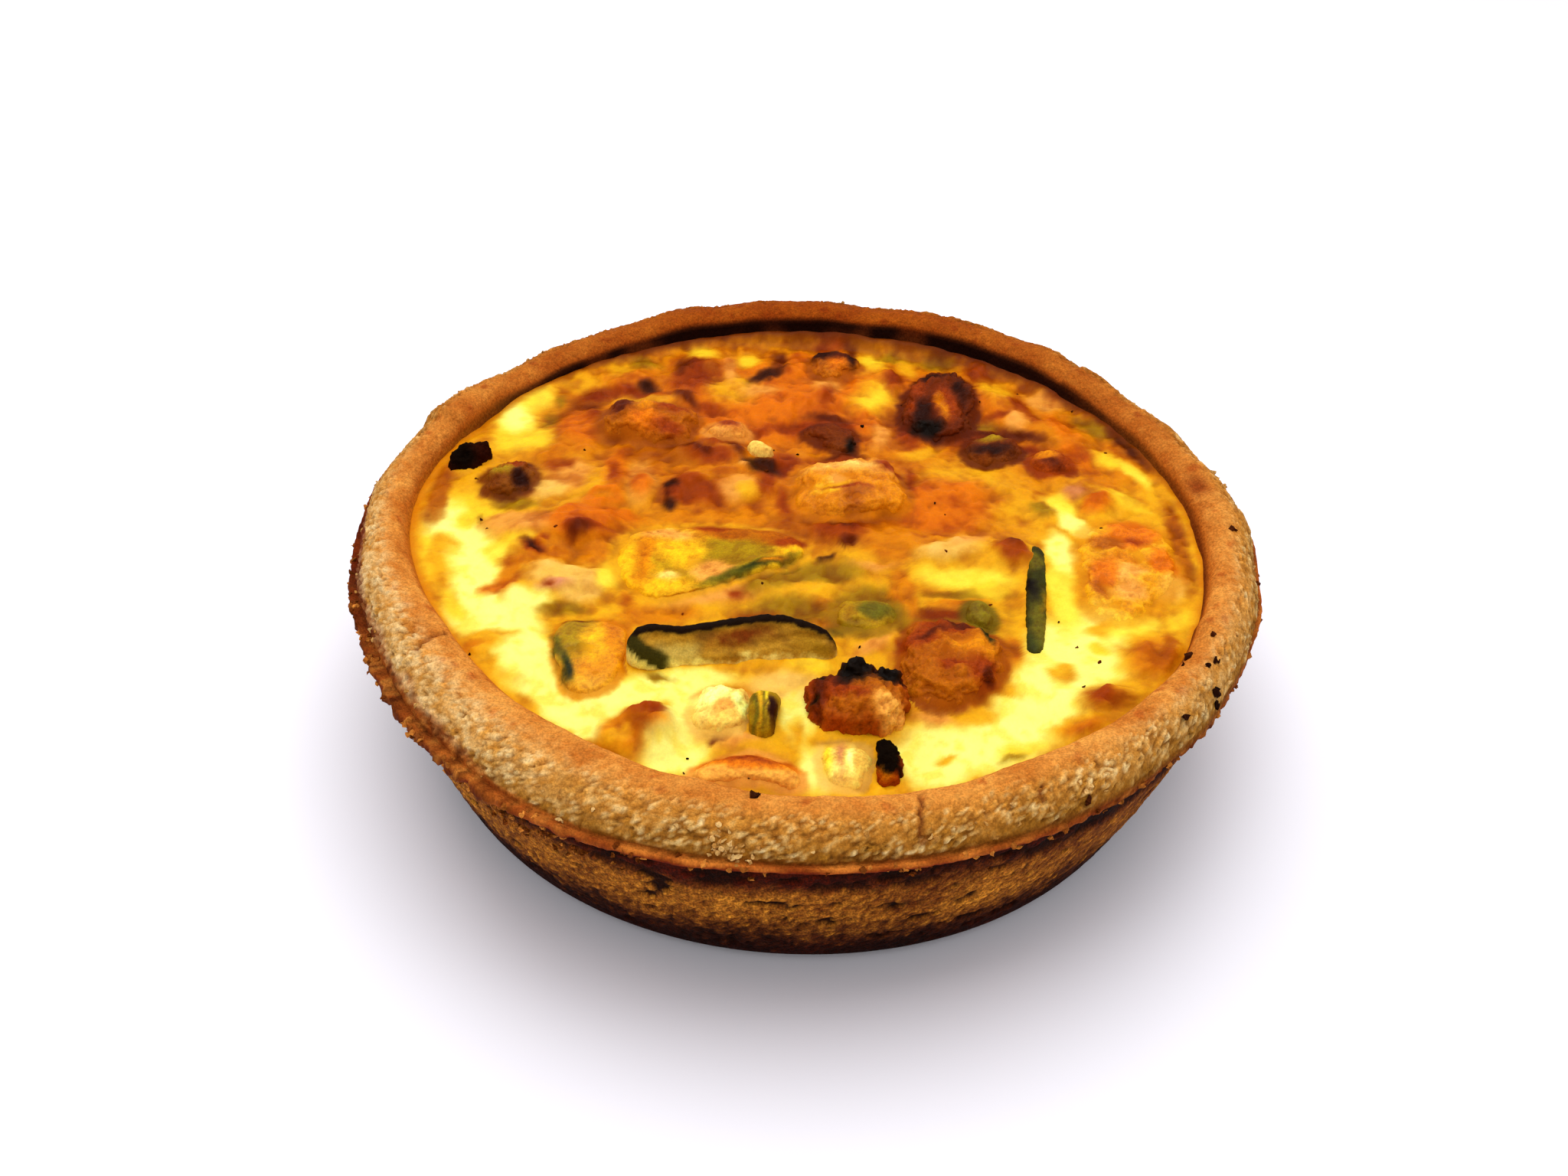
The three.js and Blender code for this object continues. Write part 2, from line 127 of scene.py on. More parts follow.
# %% Smooth random hills
def scramble(cells, seed):
    """Three random numbers from -1 to 1 for each whole-numbered cell."""
    x, y, z = (cells.astype(np.int64) & 0xFFFFFF).T.astype(np.uint64)
    mixed = x * np.uint64(73856093) ^ y * np.uint64(19349663) ^ z * np.uint64(83492791)
    numbers = []
    for turn in (1, 2, 3):
        g = (mixed + np.uint64(seed * 7919 + turn * 104729)) & np.uint64(0xFFFFFFFF)
        for _ in range(2):
            g = ((g ^ (g >> np.uint64(16))) * np.uint64(0x45D9F3B)) & np.uint64(0xFFFFFFFF)
        numbers.append((g ^ (g >> np.uint64(16))) / 0xFFFFFFFF * 2.0 - 1.0)
    return np.stack(numbers, axis=1)


def hills(points, size, seed):
    """Smooth random heights from about -1 to 1, with hills about `size` apart."""
    place = points / size + 0.37 * seed
    cell = np.floor(place)
    within = place - cell
    weight = within**3 * (within * (within * 6 - 15) + 10)
    total = np.zeros(len(points))
    for corner in np.ndindex(2, 2, 2):
        share = np.prod(np.where(corner, weight, 1 - weight), axis=1)
        slope = scramble(cell + corner, seed)
        total += share * ((within - corner) * slope).sum(axis=1)
    return 1.7 * total


def rough(points, size, seed, layers=3):
    """Hills with smaller hills on them."""
    return sum(hills(points, size / 2**k, seed + 11 * k) * 0.5**k for k in range(layers)) / 1.4


def pits(points, size, seed, share, width):
    """1 in the middle of scattered pits and 0 away from them. Share is how many cells hold a pit."""
    cell = np.floor(points / size)
    deepest = np.zeros(len(points))
    for offset in np.ndindex(3, 3, 3):
        near = cell + offset - 1
        random = scramble(near, seed)
        middle = (near + 0.5 + 0.35 * random) * size
        reach = width * size * (0.45 + 0.55 * np.abs(random[:, 1]))
        away = np.linalg.norm(points - middle, axis=1) / reach
        chosen = scramble(near + 57, seed)[:, 0] < 2 * share - 1
        deepest = np.maximum(deepest, np.where(chosen, np.clip(1 - away, 0, 1), 0))
    return deepest


def ease(share):
    """A soft start and a soft stop between 0 and 1."""
    share = np.clip(share, 0, 1)
    return share * share * (3 - 2 * share)


def between(values, low, high, soft):
    """1 between two values and 0 outside them, with soft ends."""
    return ease((values - low) / soft + 0.5) * (1 - ease((values - high) / soft + 0.5))


def mixed(low, high, share):
    """A share of the way from one value to another."""
    return low + (high - low) * share


def spread(points):
    """Places on a plane, as points in space for the functions above."""
    return np.column_stack([points[:, 0], points[:, 1], np.zeros(len(points))])


print("hills at the middle:", hills(np.zeros((1, 3)), 2.0, 1).round(3))


# %% Meshes from numbers
def mesh_object(name, points, faces):
    """A smooth mesh object from points in millimetres."""
    mesh = bpy.data.meshes.new(name)
    mesh.from_pydata((points * MM).tolist(), [], faces if isinstance(faces, list) else faces.tolist())
    mesh.validate()
    mesh.polygons.foreach_set("use_smooth", np.ones(len(mesh.polygons), dtype=bool))
    piece = bpy.data.objects.new(name, mesh)
    scene.collection.objects.link(piece)
    return piece


def points_of(piece):
    """The points of a mesh, in millimetres."""
    flat = np.empty(len(piece.data.vertices) * 3)
    piece.data.vertices.foreach_get("co", flat)
    return flat.reshape(-1, 3) / MM


def move_points(piece, points):
    piece.data.vertices.foreach_set("co", (points * MM).ravel())
    piece.data.update()


def normals_of(piece):
    flat = np.empty(len(piece.data.vertices) * 3)
    piece.data.vertices.foreach_get("normal", flat)
    return flat.reshape(-1, 3)


def store(piece, name, values):
    """Keeps one number, or one colour, for each point of a mesh."""
    kind = "FLOAT" if values.ndim == 1 else "FLOAT_COLOR"
    layer = piece.data.attributes.new(name, kind, "POINT")
    if kind == "FLOAT":
        layer.data.foreach_set("value", values.astype(np.float32))
    else:
        solid = np.column_stack([values, np.ones(len(values))]).astype(np.float32)
        layer.data.foreach_set("color", solid.ravel())


def tree_of(piece):
    """A search tree over the faces of a mesh."""
    mesh = piece.data
    return BVHTree.FromPolygons([v.co / MM for v in mesh.vertices], [p.vertices[:] for p in mesh.polygons])


SKY = 60.0  # a height above everything, to look down from


def heights_in(tree, points, missing):
    """Height of a surface under each point, or `missing` where there is none."""
    found = [tree.ray_cast((x, y, SKY), (0, 0, -1))[0] for x, y in points[:, :2]]
    return np.array([missing if hit is None else hit.z for hit in found])


def by_column(points, axis, pick):
    """One coordinate picked in each column a millimetre wide along x, and read smoothly at every point."""
    column = np.round(points[:, 0])
    columns = np.unique(column)
    return np.interp(points[:, 0], columns, [pick(points[column == x, axis]) for x in columns])


# %% [markdown]
# ## Tones of the bake
#
# The oven colours the whole top at once: pale cream where the egg pooled, then yellow, gold, amber, rust,
# brown and black as the bake went on. Vegetables add olive and green, and fish adds peach. Each tone is
# named once, as a colour on a screen, and turned to light values only at the end.

# %% Tones
TONES = {
    "cream": (255, 250, 128),
    "lemon": (252, 226, 62),
    "yellow": (246, 200, 36),
    "gold": (228, 158, 16),
    "amber": (206, 114, 4),
    "orange": (210, 100, 3),
    "toast": (164, 78, 3),
    "rust": (142, 48, 2),
    "brown": (84, 24, 1),
    "umber": (40, 9, 1),
    "black": (14, 5, 1),
    "peach": (226, 146, 54),
    "pale": (236, 182, 80),
    "pink": (198, 118, 66),
    "olive": (152, 108, 8),
    "green": (96, 80, 12),
    "dark_green": (28, 30, 5),
}


def tone(name):
    """A named tone, as screen values from 0 to 1."""
    return np.array(TONES[name]) / 255


def shade_between(dark, light, share):
    """A colour for each point, from one tone to another."""
    return mixed(tone(dark), tone(light), np.clip(share, 0, 1)[:, None])


def dyed(colour, name, share):
    """Colours mixed with a tone, by a share for each point."""
    return mixed(colour, tone(name), share[:, None])


def darkened(colour, name, share):
    """Colours multiplied by a tone, by a share for each point."""
    return colour * mixed(np.ones(3), tone(name), share[:, None])


def linear(colours):
    """Screen colours as light values."""
    return np.where(colours <= 0.04045, colours / 12.92, ((np.clip(colours, 0, 1) + 0.055) / 1.055) ** 2.4)


print(len(TONES), "tones")

# %% [markdown]
# ## Patches of the bake
#
# Most patches are one thing that a cook could point at: a pool of egg, a blister, a scorched spot; a few are
# painted shadows of the wall and of a mushroom, and one is a painted glint. Each has a tone, the place of its
# middle, its half length and half width, the turn of its length in degrees, and how far it stands up. A turn
# or a rise of nothing is left out. Patches are laid over each other in order, as paint is, and random hills
# bend their edges.

# %% Patches
PATCHES = [
    # Broad grounds
    ("amber", 0, 24, 44, 30), ("orange", 2, 30, 30, 14), ("amber", 6, 8, 26, 13),
    ("amber", -24, 10, 16, 14), ("gold", -34, -6, 13, 18), ("amber", -28, -6, 9, 8, 20),
    ("gold", -12, -14, 16, 8), ("gold", 14, -14, 20, 9), ("orange", -8, 28, 12, 8, 20, 0.2),
    ("rust", -17, 38, 2.4, 6, 10), ("gold", -12, 33, 4, 5), ("brown", -34, 26, 5, 2.4, 60),
    # The toast patch at 13, 26 is a painted shadow beside the mushroom at the back
    ("rust", -28, 30, 5, 2, -10), ("rust", 1, 24, 9, 2, 10), ("toast", 13, 26, 2.6, 6),
    ("rust", 26, 21, 7, 4), ("amber", 22, 11, 14, 8, 10), ("gold", 24, 9, 9, 8),
    ("orange", 17, 4, 9, 6, 20), ("amber", 40, 20, 10, 14, -30), ("gold", 38, -2, 9, 14),
    # The brown strip at 47, 22 is a painted shadow of the wall
    ("brown", 47, 22, 2, 7, 28), ("gold", 48.6, -2, 2.6, 12), ("olive", 13, -20, 6, 2.4),
    # Pools of egg along the left
    ("yellow", -46, -6, 7, 9), ("cream", -49, -2.6, 2.6, 4), ("cream", -44.5, -7.5, 7, 3, -52),
    ("gold", -47.4, -8.4, 1.6, 2.6, 20), ("gold", -47.4, -13.4, 1.4, 4, 20),
    ("yellow", -46, -2.4, 1.6, 1.6), ("cream", -42.6, -14, 7, 3, -65), ("lemon", -40.4, -10, 3, 1.6, -60),
    ("yellow", -38.2, -7.6, 2.4, 2.2), ("olive", -44, -2.3, 0.5, 1.2, 15),
    ("cream", -41, -21, 6, 4.2, -70), ("yellow", -44.4, -20.4, 1.2, 3.6, 30),
    ("cream", -36, -24.5, 7, 3.6, -70), ("gold", -39.8, -27.4, 3.4, 2, 30, 0.2),
    ("amber", -40.4, -28.4, 1.6, 1, 30), ("gold", -36.6, -26.2, 2, 1.4, 30),
    ("gold", -38.4, -30.4, 2, 1.2, -40), ("cream", -33.4, -29.8, 5, 3.4, -60, 0.2),
    ("gold", -34.8, -33.4, 2.2, 1.2, -40), ("cream", -27.6, -36.4, 8, 3.4, -22),
    ("cream", -20, -35, 6, 3, 10), ("gold", -33.4, -37.4, 3, 1.4, -45),
    ("amber", -30.4, -41.2, 2.4, 1, -35, 0.1), ("gold", -26.4, -40.6, 2.6, 1.6),
    ("cream", -26, -40.4, 4, 2, -30), ("cream", -24.2, -42.2, 2, 1.4, 0, 0.2),
    ("amber", -24.4, -45, 3, 1.4, -30),
    # Blister at the front left
    ("amber", -18.6, -42.2, 5, 3.2, 5, 0.6), ("toast", -17.8, -41.2, 3.2, 2.4, 0, 0.5),
    ("rust", -17.6, -40.4, 2.6, 0.7, -5, 0.1), ("amber", -16.2, -42.2, 1.5, 1.2, 0, 0.2),
    ("gold", -21.6, -43.4, 1.4, 0.8, 10, 0.1),
    # Pools along the front
    ("cream", -14.6, -45.2, 4, 3), ("cream", -13.6, -38, 2.6, 5), ("cream", -14, -32.6, 6, 2, 8),
    ("pale", -2.6, -33, 5, 2.4), ("cream", -1, -38.6, 1.8, 4), ("gold", -1, -41.8, 0.8, 2.4),
    ("cream", 1.4, -46.4, 2.8, 3.4), ("cream", 14.6, -43.6, 5, 5.4), ("cream", 21.6, -41.4, 7, 4.2, 28),
    ("yellow", 25, -41.6, 3.4, 1.2, 28), ("cream", 26.8, -35.4, 6, 5, 40),
    ("peach", 15.4, -37.4, 2.6, 1.2, 0, 0.2), ("gold", 19.8, -36.6, 2.4, 1.2, 10, 0.1),
    ("gold", 16.2, -44.2, 1, 0.6), ("olive", 23.6, -43.6, 1.6, 0.6, 25),
    # Pools along the right
    ("cream", 33.6, -25, 9, 6.2, 60), ("cream", 28.8, -31.6, 5, 4, 50),
    ("gold", 37, -20, 2.6, 1.2, 10, 0.1), ("yellow", 36, -23.8, 1.6, 1, 0, 0.1),
    ("gold", 31, -28.8, 1.8, 1.6, 0, 0.2), ("lemon", 41.4, -19.4, 3.4, 2, 20),
    ("yellow", 46.8, -18, 2.4, 1.4, 60), ("lemon", 32.6, -12.4, 2, 8), ("cream", 33.4, -4.4, 2, 4.4),
    ("pale", 47.4, -11, 2, 3, -20), ("olive", 49.8, -5, 0.8, 3.4), ("cream", 36.2, 1.8, 4, 1.4, -65),
    ("lemon", 34.8, 6.2, 2.6, 1.6, -50),
    # Three blisters by the rim at the front right
    ("gold", 42.4, -25.4, 5.4, 4, 50, 0.2), ("amber", 42.6, -25.6, 4, 2.8, 50, 0.5),
    ("toast", 44.2, -23.4, 2.4, 1, 60, 0.1), ("gold", 36.8, -33, 4.6, 2.4, 20, 0.2),
    ("toast", 36, -33.2, 3, 1.5, 20, 0.5), ("rust", 34.8, -33, 1.8, 1.1, 15, 0.1),
    ("gold", 31.8, -38, 3.8, 1.6, 22, 0.2), ("amber", 32.2, -38.2, 2.6, 1, 22, 0.2),
    ("gold", 38.6, -32.4, 1.6, 0.8, 20),
    # Left middle
    ("peach", -40, -3.4, 4, 2.6, 0, 0.3), ("peach", -36, -5, 3, 2, 0, 0.2),
    ("orange", -30.4, -3.4, 4.4, 4.4, 0, 0.3), ("rust", -29.7, -6.4, 2.4, 1.5, 0, 0.4),
    ("brown", -30, -7, 1.5, 1, 10), ("amber", -27.8, -9.2, 2.4, 1.8, -20, 0.2),
    ("orange", -25.4, -1.4, 2, 1.4, 0, 0.2), ("amber", -34.8, -11, 2.4, 3, 0, 0.2),
    ("rust", -35.9, -9.6, 2.2, 1.1, -35), ("umber", -36, -9.4, 1.6, 0.4, -40, -0.2),
    ("rust", -34.6, -8, 0.7, 0.4, 30), ("amber", -38.2, -14.4, 1.4, 4.4, 5, 0.1),
    ("orange", -39.6, -17, 2.2, 1.2, 20), ("pale", -31, -14.6, 5, 2.6, 0, 0.4),
    ("pale", -28.8, -17.4, 3, 1.8, 20, 0.3), ("pink", -32.3, -17, 1.8, 1, 0, 0.3),
    ("rust", -32.6, -17, 0.6, 0.35, 0, -0.1), ("cream", -35, -19, 3, 1.8, -20, 0.1),
    ("lemon", -25.2, -14, 1.4, 3, 0, 0.1), ("olive", -30.4, -20.4, 3, 1, 5),
    ("gold", -24.4, -18.4, 1.6, 2.6), ("amber", -22.4, -16, 0.8, 5.4),
    # Back left
    ("toast", -20, 14, 7, 3, 0, 0.2), ("rust", -14, 13, 4, 2, -20, 0.2),
    ("peach", -23.6, 7, 2.4, 5, 0, 0.2), ("orange", -27.2, 9, 1.5, 5, 5, 0.3),
    ("rust", -27.4, 8.4, 0.7, 3, 5), ("orange", -27.8, 2.2, 2.6, 2, 0, 0.4),
    ("amber", -27.8, 2.2, 1.3, 0.9, 0, -0.2), ("orange", -23.4, 5.4, 1.6, 2.2, 0, 0.3),
    ("peach", -33.4, 7.6, 3, 4, 0, 0.2), ("rust", -35.3, 11, 2.2, 1.5, 0, 0.2),
    ("pale", -36.4, 4.6, 2.6, 2.4, 0, 0.1), ("olive", -40, 1.4, 3, 1.6, -10),
    ("amber", -36, 15, 5, 2.4, 70), ("orange", -34, 21, 2.4, 5.4, 10, 0.3),
    ("rust", -32.2, 22.8, 1.1, 1.8, 20, 0.1), ("toast", -33, 28.4, 3.4, 1.5, -12, 0.3),
    ("rust", -31.6, 28.8, 2.6, 0.8, -12, 0.2), ("gold", -25, 27.6, 4.4, 1.8, 0, 0.3),
    ("brown", -18.8, 28.4, 3, 1.3, -40, 0.3), ("lemon", -43, 22, 3, 7.4, 14),
    ("cream", -43.4, 23.4, 2, 4.4, 14), ("lemon", -41, 29.6, 2.4, 3.4), ("yellow", -44, 16.4, 2.2, 2.6),
    ("yellow", -39.4, 17, 2.4, 3, 20), ("olive", -38.2, 22.6, 0.9, 2.6), ("olive", -37.6, 28.4, 0.6, 1),
    ("gold", -35.4, 33.6, 3, 2.6), ("gold", -29.6, 38.4, 2.6, 3), ("olive", -26, 40.6, 2, 1.8),
    ("amber", -22.4, 35.8, 2, 3, 0, 0.2), ("umber", -24.7, 32.6, 1.5, 1.6),
    ("rust", -18.8, 34.6, 3, 3.6, 0, 0.4), ("brown", -20, 39.6, 1.3, 2.4, -10, 0.2),
    ("toast", -15.6, 40, 1.3, 1.3, 0, 0.2), ("peach", -12.6, 39.6, 1.3, 4.6, 0, 0.3),
    ("yellow", -17.4, 44.6, 2.4, 2.2), ("yellow", -9.8, 43.6, 1.8, 2.6), ("peach", -8, 32.8, 3, 2, 0, 0.3),
    ("orange", -7, 27.6, 5, 3.2, 0, 0.2), ("rust", -14.8, 26.4, 1.6, 2, 0, 0.1),
    ("umber", -7, 38, 3.4, 1.2, 48, -0.2), ("brown", -5.2, 43.6, 1, 3.4, -6),
    ("orange", -1.6, 43.4, 1.8, 4.4, 0, 0.2),
    # Middle
    ("brown", -18.4, 15.8, 2.8, 0.9, 0, 0.1), ("brown", -15.4, 14, 1.6, 1, -40, 0.2),
    ("rust", -12.4, 18, 3, 1.8, 20, 0.2), ("brown", -10.4, 15.6, 1.4, 2.6, 20, 0.1),
    ("rust", -3.8, 13, 2, 4, 0, 0.2), ("umber", -6.6, 11.4, 2.4, 2.2, 0, 0.2),
    # The small peach spot at -9, 10.4 is a painted glint
    ("peach", -9, 10.4, 0.6, 0.35, 40, 0.2), ("rust", -16, 4.4, 4.4, 2.8, 0, 0.3),
    ("peach", -10, 5.6, 2.8, 2.4, 30, 0.4), ("gold", -8.8, 5, 1.6, 1.4, 0, 0.2),
    ("rust", -6.2, 7.6, 1.2, 2.4), ("rust", -3.4, 3.4, 1.3, 3.6, 10, 0.1),
    ("toast", 4, -0.6, 8, 2.4, 0, 0.2), ("toast", -4, -3.6, 5, 2.6, 0, 0.1),
    ("umber", -19.2, 5.3, 0.9, 0.8, 0, 0.1), ("brown", -19.3, 3.4, 0.5, 0.9),
    ("umber", -18.9, 1.8, 1.2, 0.8, 20, 0.1), ("rust", 4.6, -3, 4.4, 3, -10, 0.3),
    ("brown", 4.2, -1.6, 2, 1, 0, 0.1), ("brown", 5, -5.6, 1.6, 0.9, 0, 0.1),
    ("umber", 1.9, -9, 0.6, 0.45, 10, 0.1), ("umber", 2.9, -8.5, 0.5, 0.45, 10, 0.1),
    ("peach", 8.4, -9.6, 3.4, 0.7, 0, 0.2), ("amber", 12, -5, 5, 4.4),
    ("pale", 18.4, -6.6, 4.6, 1.8, 22, 0.4), ("peach", 21.2, -4, 3, 1.4, 30, 0.2),
    ("rust", 26.8, -6.2, 2.2, 2.4, 0, 0.5), ("brown", 27.2, -4.4, 1, 1.4, 0, 0.1),
    ("olive", 2, -11.6, 5, 2.4, 10, 0.1), ("olive", 8.6, -16.4, 5, 3.2, 10),
    ("green", 9.6, -17.4, 2.6, 1.6, 10), ("olive", 0.4, -12.6, 3.4, 1.6, 20),
    ("green", 4.4, -22.8, 2.6, 1.2, 10), ("toast", 2, -19.6, 4, 2.4, 0, 0.1),
    ("amber", 12.2, -15, 1.8, 4.4, 10, 0.1), ("lemon", 20.6, -11.6, 6, 2, 2, 0.1),
    ("olive", 20.4, -14.6, 5, 0.8, 4, -0.1), ("yellow", 23.4, -13.4, 2.6, 1.8),
    ("amber", 19, -16.6, 3.2, 0.9, 10, 0.1), ("rust", 17.2, -18.8, 3.6, 1), ("gold", 25.6, -21, 1.5, 4),
    ("amber", 25, -25, 1.2, 2.6, 0, 0.1), ("gold", 23.6, -31.8, 2, 1.2, -20),
    ("peach", -12, -17, 7, 1.6, 14, 0.2), ("olive", -5, -14.6, 4, 1.6, 20),
    ("rust", -9.8, -17, 1, 0.7, 0, 0.1), ("amber", -18.4, -21, 5, 1.8, 6), ("olive", -2.4, -19.4, 5, 2.6),
    ("toast", -6, -21, 3, 1.2), ("green", -5, -12, 3.6, 1.2, 30, -0.2),
    ("olive", -17.6, -32, 1.6, 0.5, -20), ("peach", -7.6, -43.4, 2.6, 1.2, 0, 0.2),
    ("brown", -10.4, -43.3, 0.7, 0.4, 0, -0.1), ("gold", -5, -44.8, 3.6, 1, 0, 0.1),
    ("peach", 8.2, -24.6, 1.2, 3.2, -45, 0.2), ("yellow", 0.6, -29.6, 2.6, 1.2, 0, 0.1),
    # Back middle
    ("rust", 2.2, 48.4, 1.6, 2.6), ("orange", 4.2, 49, 1.2, 2), ("brown", 6.2, 47.6, 0.9, 2.4),
    ("peach", 2.2, 36.8, 2.4, 3.6, 0, 0.4), ("rust", 2.4, 32, 0.9, 3.4, -5),
    ("orange", 6.6, 34, 2.2, 3.6, 0, 0.2), ("gold", 9.4, 44, 3, 4), ("yellow", 9.4, 45, 1.6, 2.6),
    ("gold", 9.6, 33, 3.4, 6, -25), ("yellow", 9.4, 32.4, 1.4, 3.4, -25, 0.1),
    ("rust", 12.6, 38, 1.6, 3.2, 0, 0.2), ("olive", 13.2, 46.4, 2.4, 1.3, -10),
    ("gold", 14.8, 43.6, 1.6, 3), ("olive", 19.6, 45, 3, 1.6, -20), ("brown", 2.6, 26.2, 3, 1.1, -10),
    ("orange", 8, 26, 2, 3.6, 0, 0.2), ("peach", 10, 21.8, 1.4, 3, 0, 0.3),
    ("rust", 14.2, 22.6, 1.4, 3.6, 5, 0.1), ("rust", 4, 14.2, 4.6, 1.9, 0, 0.1),
    ("brown", 4.6, 16.2, 3, 0.9), ("rust", 14, 9, 0.8, 4), ("gold", 16, 17.6, 3, 1.4, 30, 0.1),
    # Back right
    ("rust", 26.4, 41.6, 2, 3.4, 20, 0.1), ("gold", 28.4, 35.4, 3, 4.2, 15, 0.3),
    ("peach", 35, 33.8, 3, 2.4, -40, 0.2), ("rust", 31.6, 32, 1, 3.2, 10, 0.1),
    ("rust", 28.6, 28.6, 2.4, 0.6, 10, 0.1), ("peach", 31, 27, 1.6, 2.4, 0, 0.3),
    ("rust", 33.4, 28, 0.7, 2, 30), ("olive", 25.2, 26.2, 2.6, 1.4), ("brown", 26.4, 24, 3.4, 1),
    ("brown", 31, 24, 3.6, 0.8, -25), ("orange", 37, 26.2, 1.8, 4.4, 20, 0.3),
    # The umber strip at 46.4, 22.6 is a painted shadow of the wall
    ("olive", 42, 27.2, 1.4, 3.4, 35), ("umber", 46.4, 22.6, 0.9, 3.4, 22, -0.1),
    ("yellow", 42.8, 18.4, 2.6, 1.4, -50, 0.1), ("lemon", 46.4, 14.6, 3.4, 1.1, -62, 0.1),
    ("amber", 41.4, 13, 2.6, 1.8, -50, 0.1), ("rust", 32, 20.6, 2.4, 1, 0, 0.1),
    ("orange", 38, 18.4, 2, 3, 30, 0.1), ("pink", 37, 9.2, 2.2, 1.5, 0, 0.3),
    ("orange", 39.8, 6.6, 2.6, 1.5, 40, 0.4), ("olive", 32, 4.6, 1.8, 1.4, 0, 0.2),
    ("yellow", 44.2, 7.4, 3, 1.3, -40, 0.1), ("toast", 49.8, -1, 1.3, 9), ("toast", -50.6, 3.6, 1.6, 8),
]
print(len(PATCHES), "patches")


# %% Laying the patches
PATCH_RISE = 1.6  # makes every patch stand up that much more
PATCH_STRENGTH = 0.92  # lets a little of the ground show through
MORE_BAKED = (0.72, 0.5, 0.22)  # what a darker spot multiplies red, green and blue by
LESS_BAKED = (1.1, 1.22, 1.5)  # the same for a lighter spot


def patch_cover(points, patch):
    """How much of a patch covers each point, from 0 to 1. Its edge is softer when the patch is larger."""
    x, y, long, wide, turn = (*patch[1:], 0)[:5]
    c, s = math.cos(math.radians(turn)), math.sin(math.radians(turn))
    along = ((points[:, 0] - x) * c + (points[:, 1] - y) * s) / long
    across = ((points[:, 1] - y) * c - (points[:, 0] - x) * s) / wide
    inside = 1 - np.hypot(along, across)
    softness = min(1.7, (0.5 + 0.55 / min(long, wide)) * (1 + 0.4 * float(ease((y - 2) / 24))))
    return ease(0.5 + inside / softness * 0.9)


def bent(points):
    """Places moved by random hills, so that the patches' edges wander."""
    flat = spread(points)
    shift = [rough(flat, 4.0, seed, 2) + rough(flat, 1.1, seed + 2) * 0.32 for seed in (21, 22)]
    return points[:, :2] + np.column_stack(shift)


def lay_patches(points):
    """Colour and rise of the bake at each point of the top."""
    wandering = bent(points)
    colour = np.tile(tone("gold"), (len(points), 1))
    rise = np.zeros(len(points))
    for patch in PATCHES:
        cover = patch_cover(wandering, patch)
        colour += (tone(patch[0]) - colour) * PATCH_STRENGTH * cover[:, None]
        if len(patch) == 7:
            rise += patch[6] * cover
    return colour, PATCH_RISE * rise


def toasted(colour, points):
    """Colour with lighter and darker spots, stronger where it is already well baked."""
    flat = spread(points)
    spots = rough(flat, 3.2, 31) + 0.25 * rough(flat, 0.9, 36, 2)
    baked_share = np.clip(1.25 - 1.25 * colour[:, 1], 0.04, 0.6)
    darker = np.clip(spots * 1.6, 0, 1) * baked_share
    lighter = np.clip(-spots * 1.4, 0, 1) * np.minimum(baked_share, 0.3)
    colour = mixed(colour, colour * MORE_BAKED, darker[:, None])
    colour = mixed(colour, np.minimum(1, colour * LESS_BAKED + 0.02), lighter[:, None])
    mottled = np.clip(rough(flat, 2.4, 40), 0, 0.4) * ease((colour[:, 1] - 0.6) / 0.3)
    return np.clip(dyed(colour, "yellow", mottled), 0, 1)


# %% [markdown]
# ## Baked materials
#
# Every piece carries its own colours as an attribute called tint, laid on its points in the cells below.
# The material multiplies it by a fine random grain, which is smaller than the mesh can hold, and turns the
# same grain into bump and into uneven gloss. Egg and vegetable flesh let light in, so they get some
# scattering; dough hardly does. Numbers that are the same all over are set straight on the shader.


# %% A baked material
FLECKED_BELOW = (22.0 * MM, 25.5 * MM)  # the flecks grow stronger from the second height down to the first
GLOSS_SPREAD = 0.12


def set_inputs(tree, node, inputs):
    """Links each input to a socket, or sets it to a value."""
    for key, value in inputs.items():
        if isinstance(value, bpy.types.NodeSocket):
            tree.links.new(value, node.inputs[key])
        else:
            node.inputs[key].default_value = value


def add_node(tree, kind, inputs, **settings):
    """A new node with its settings made and its inputs given."""
    node = tree.nodes.new(kind)
    for key, value in settings.items():
        setattr(node, key, value)
    set_inputs(tree, node, inputs)
    return node


def remap(tree, value, given, wanted):
    """A value moved from a given range to a wanted one."""
    limits = {"From Min": given[0], "From Max": given[1], "To Min": wanted[0], "To Max": wanted[1]}
    return add_node(tree, "ShaderNodeMapRange", {"Value": value, **limits}).outputs["Result"]


def noise_in(tree, vector, scale, detail, roughness=0.5):
    """Random grain over a vector."""
    inputs = {"Vector": vector, "Scale": scale, "Detail": detail, "Roughness": roughness}
    return add_node(tree, "ShaderNodeTexNoise", inputs).outputs["Fac"]


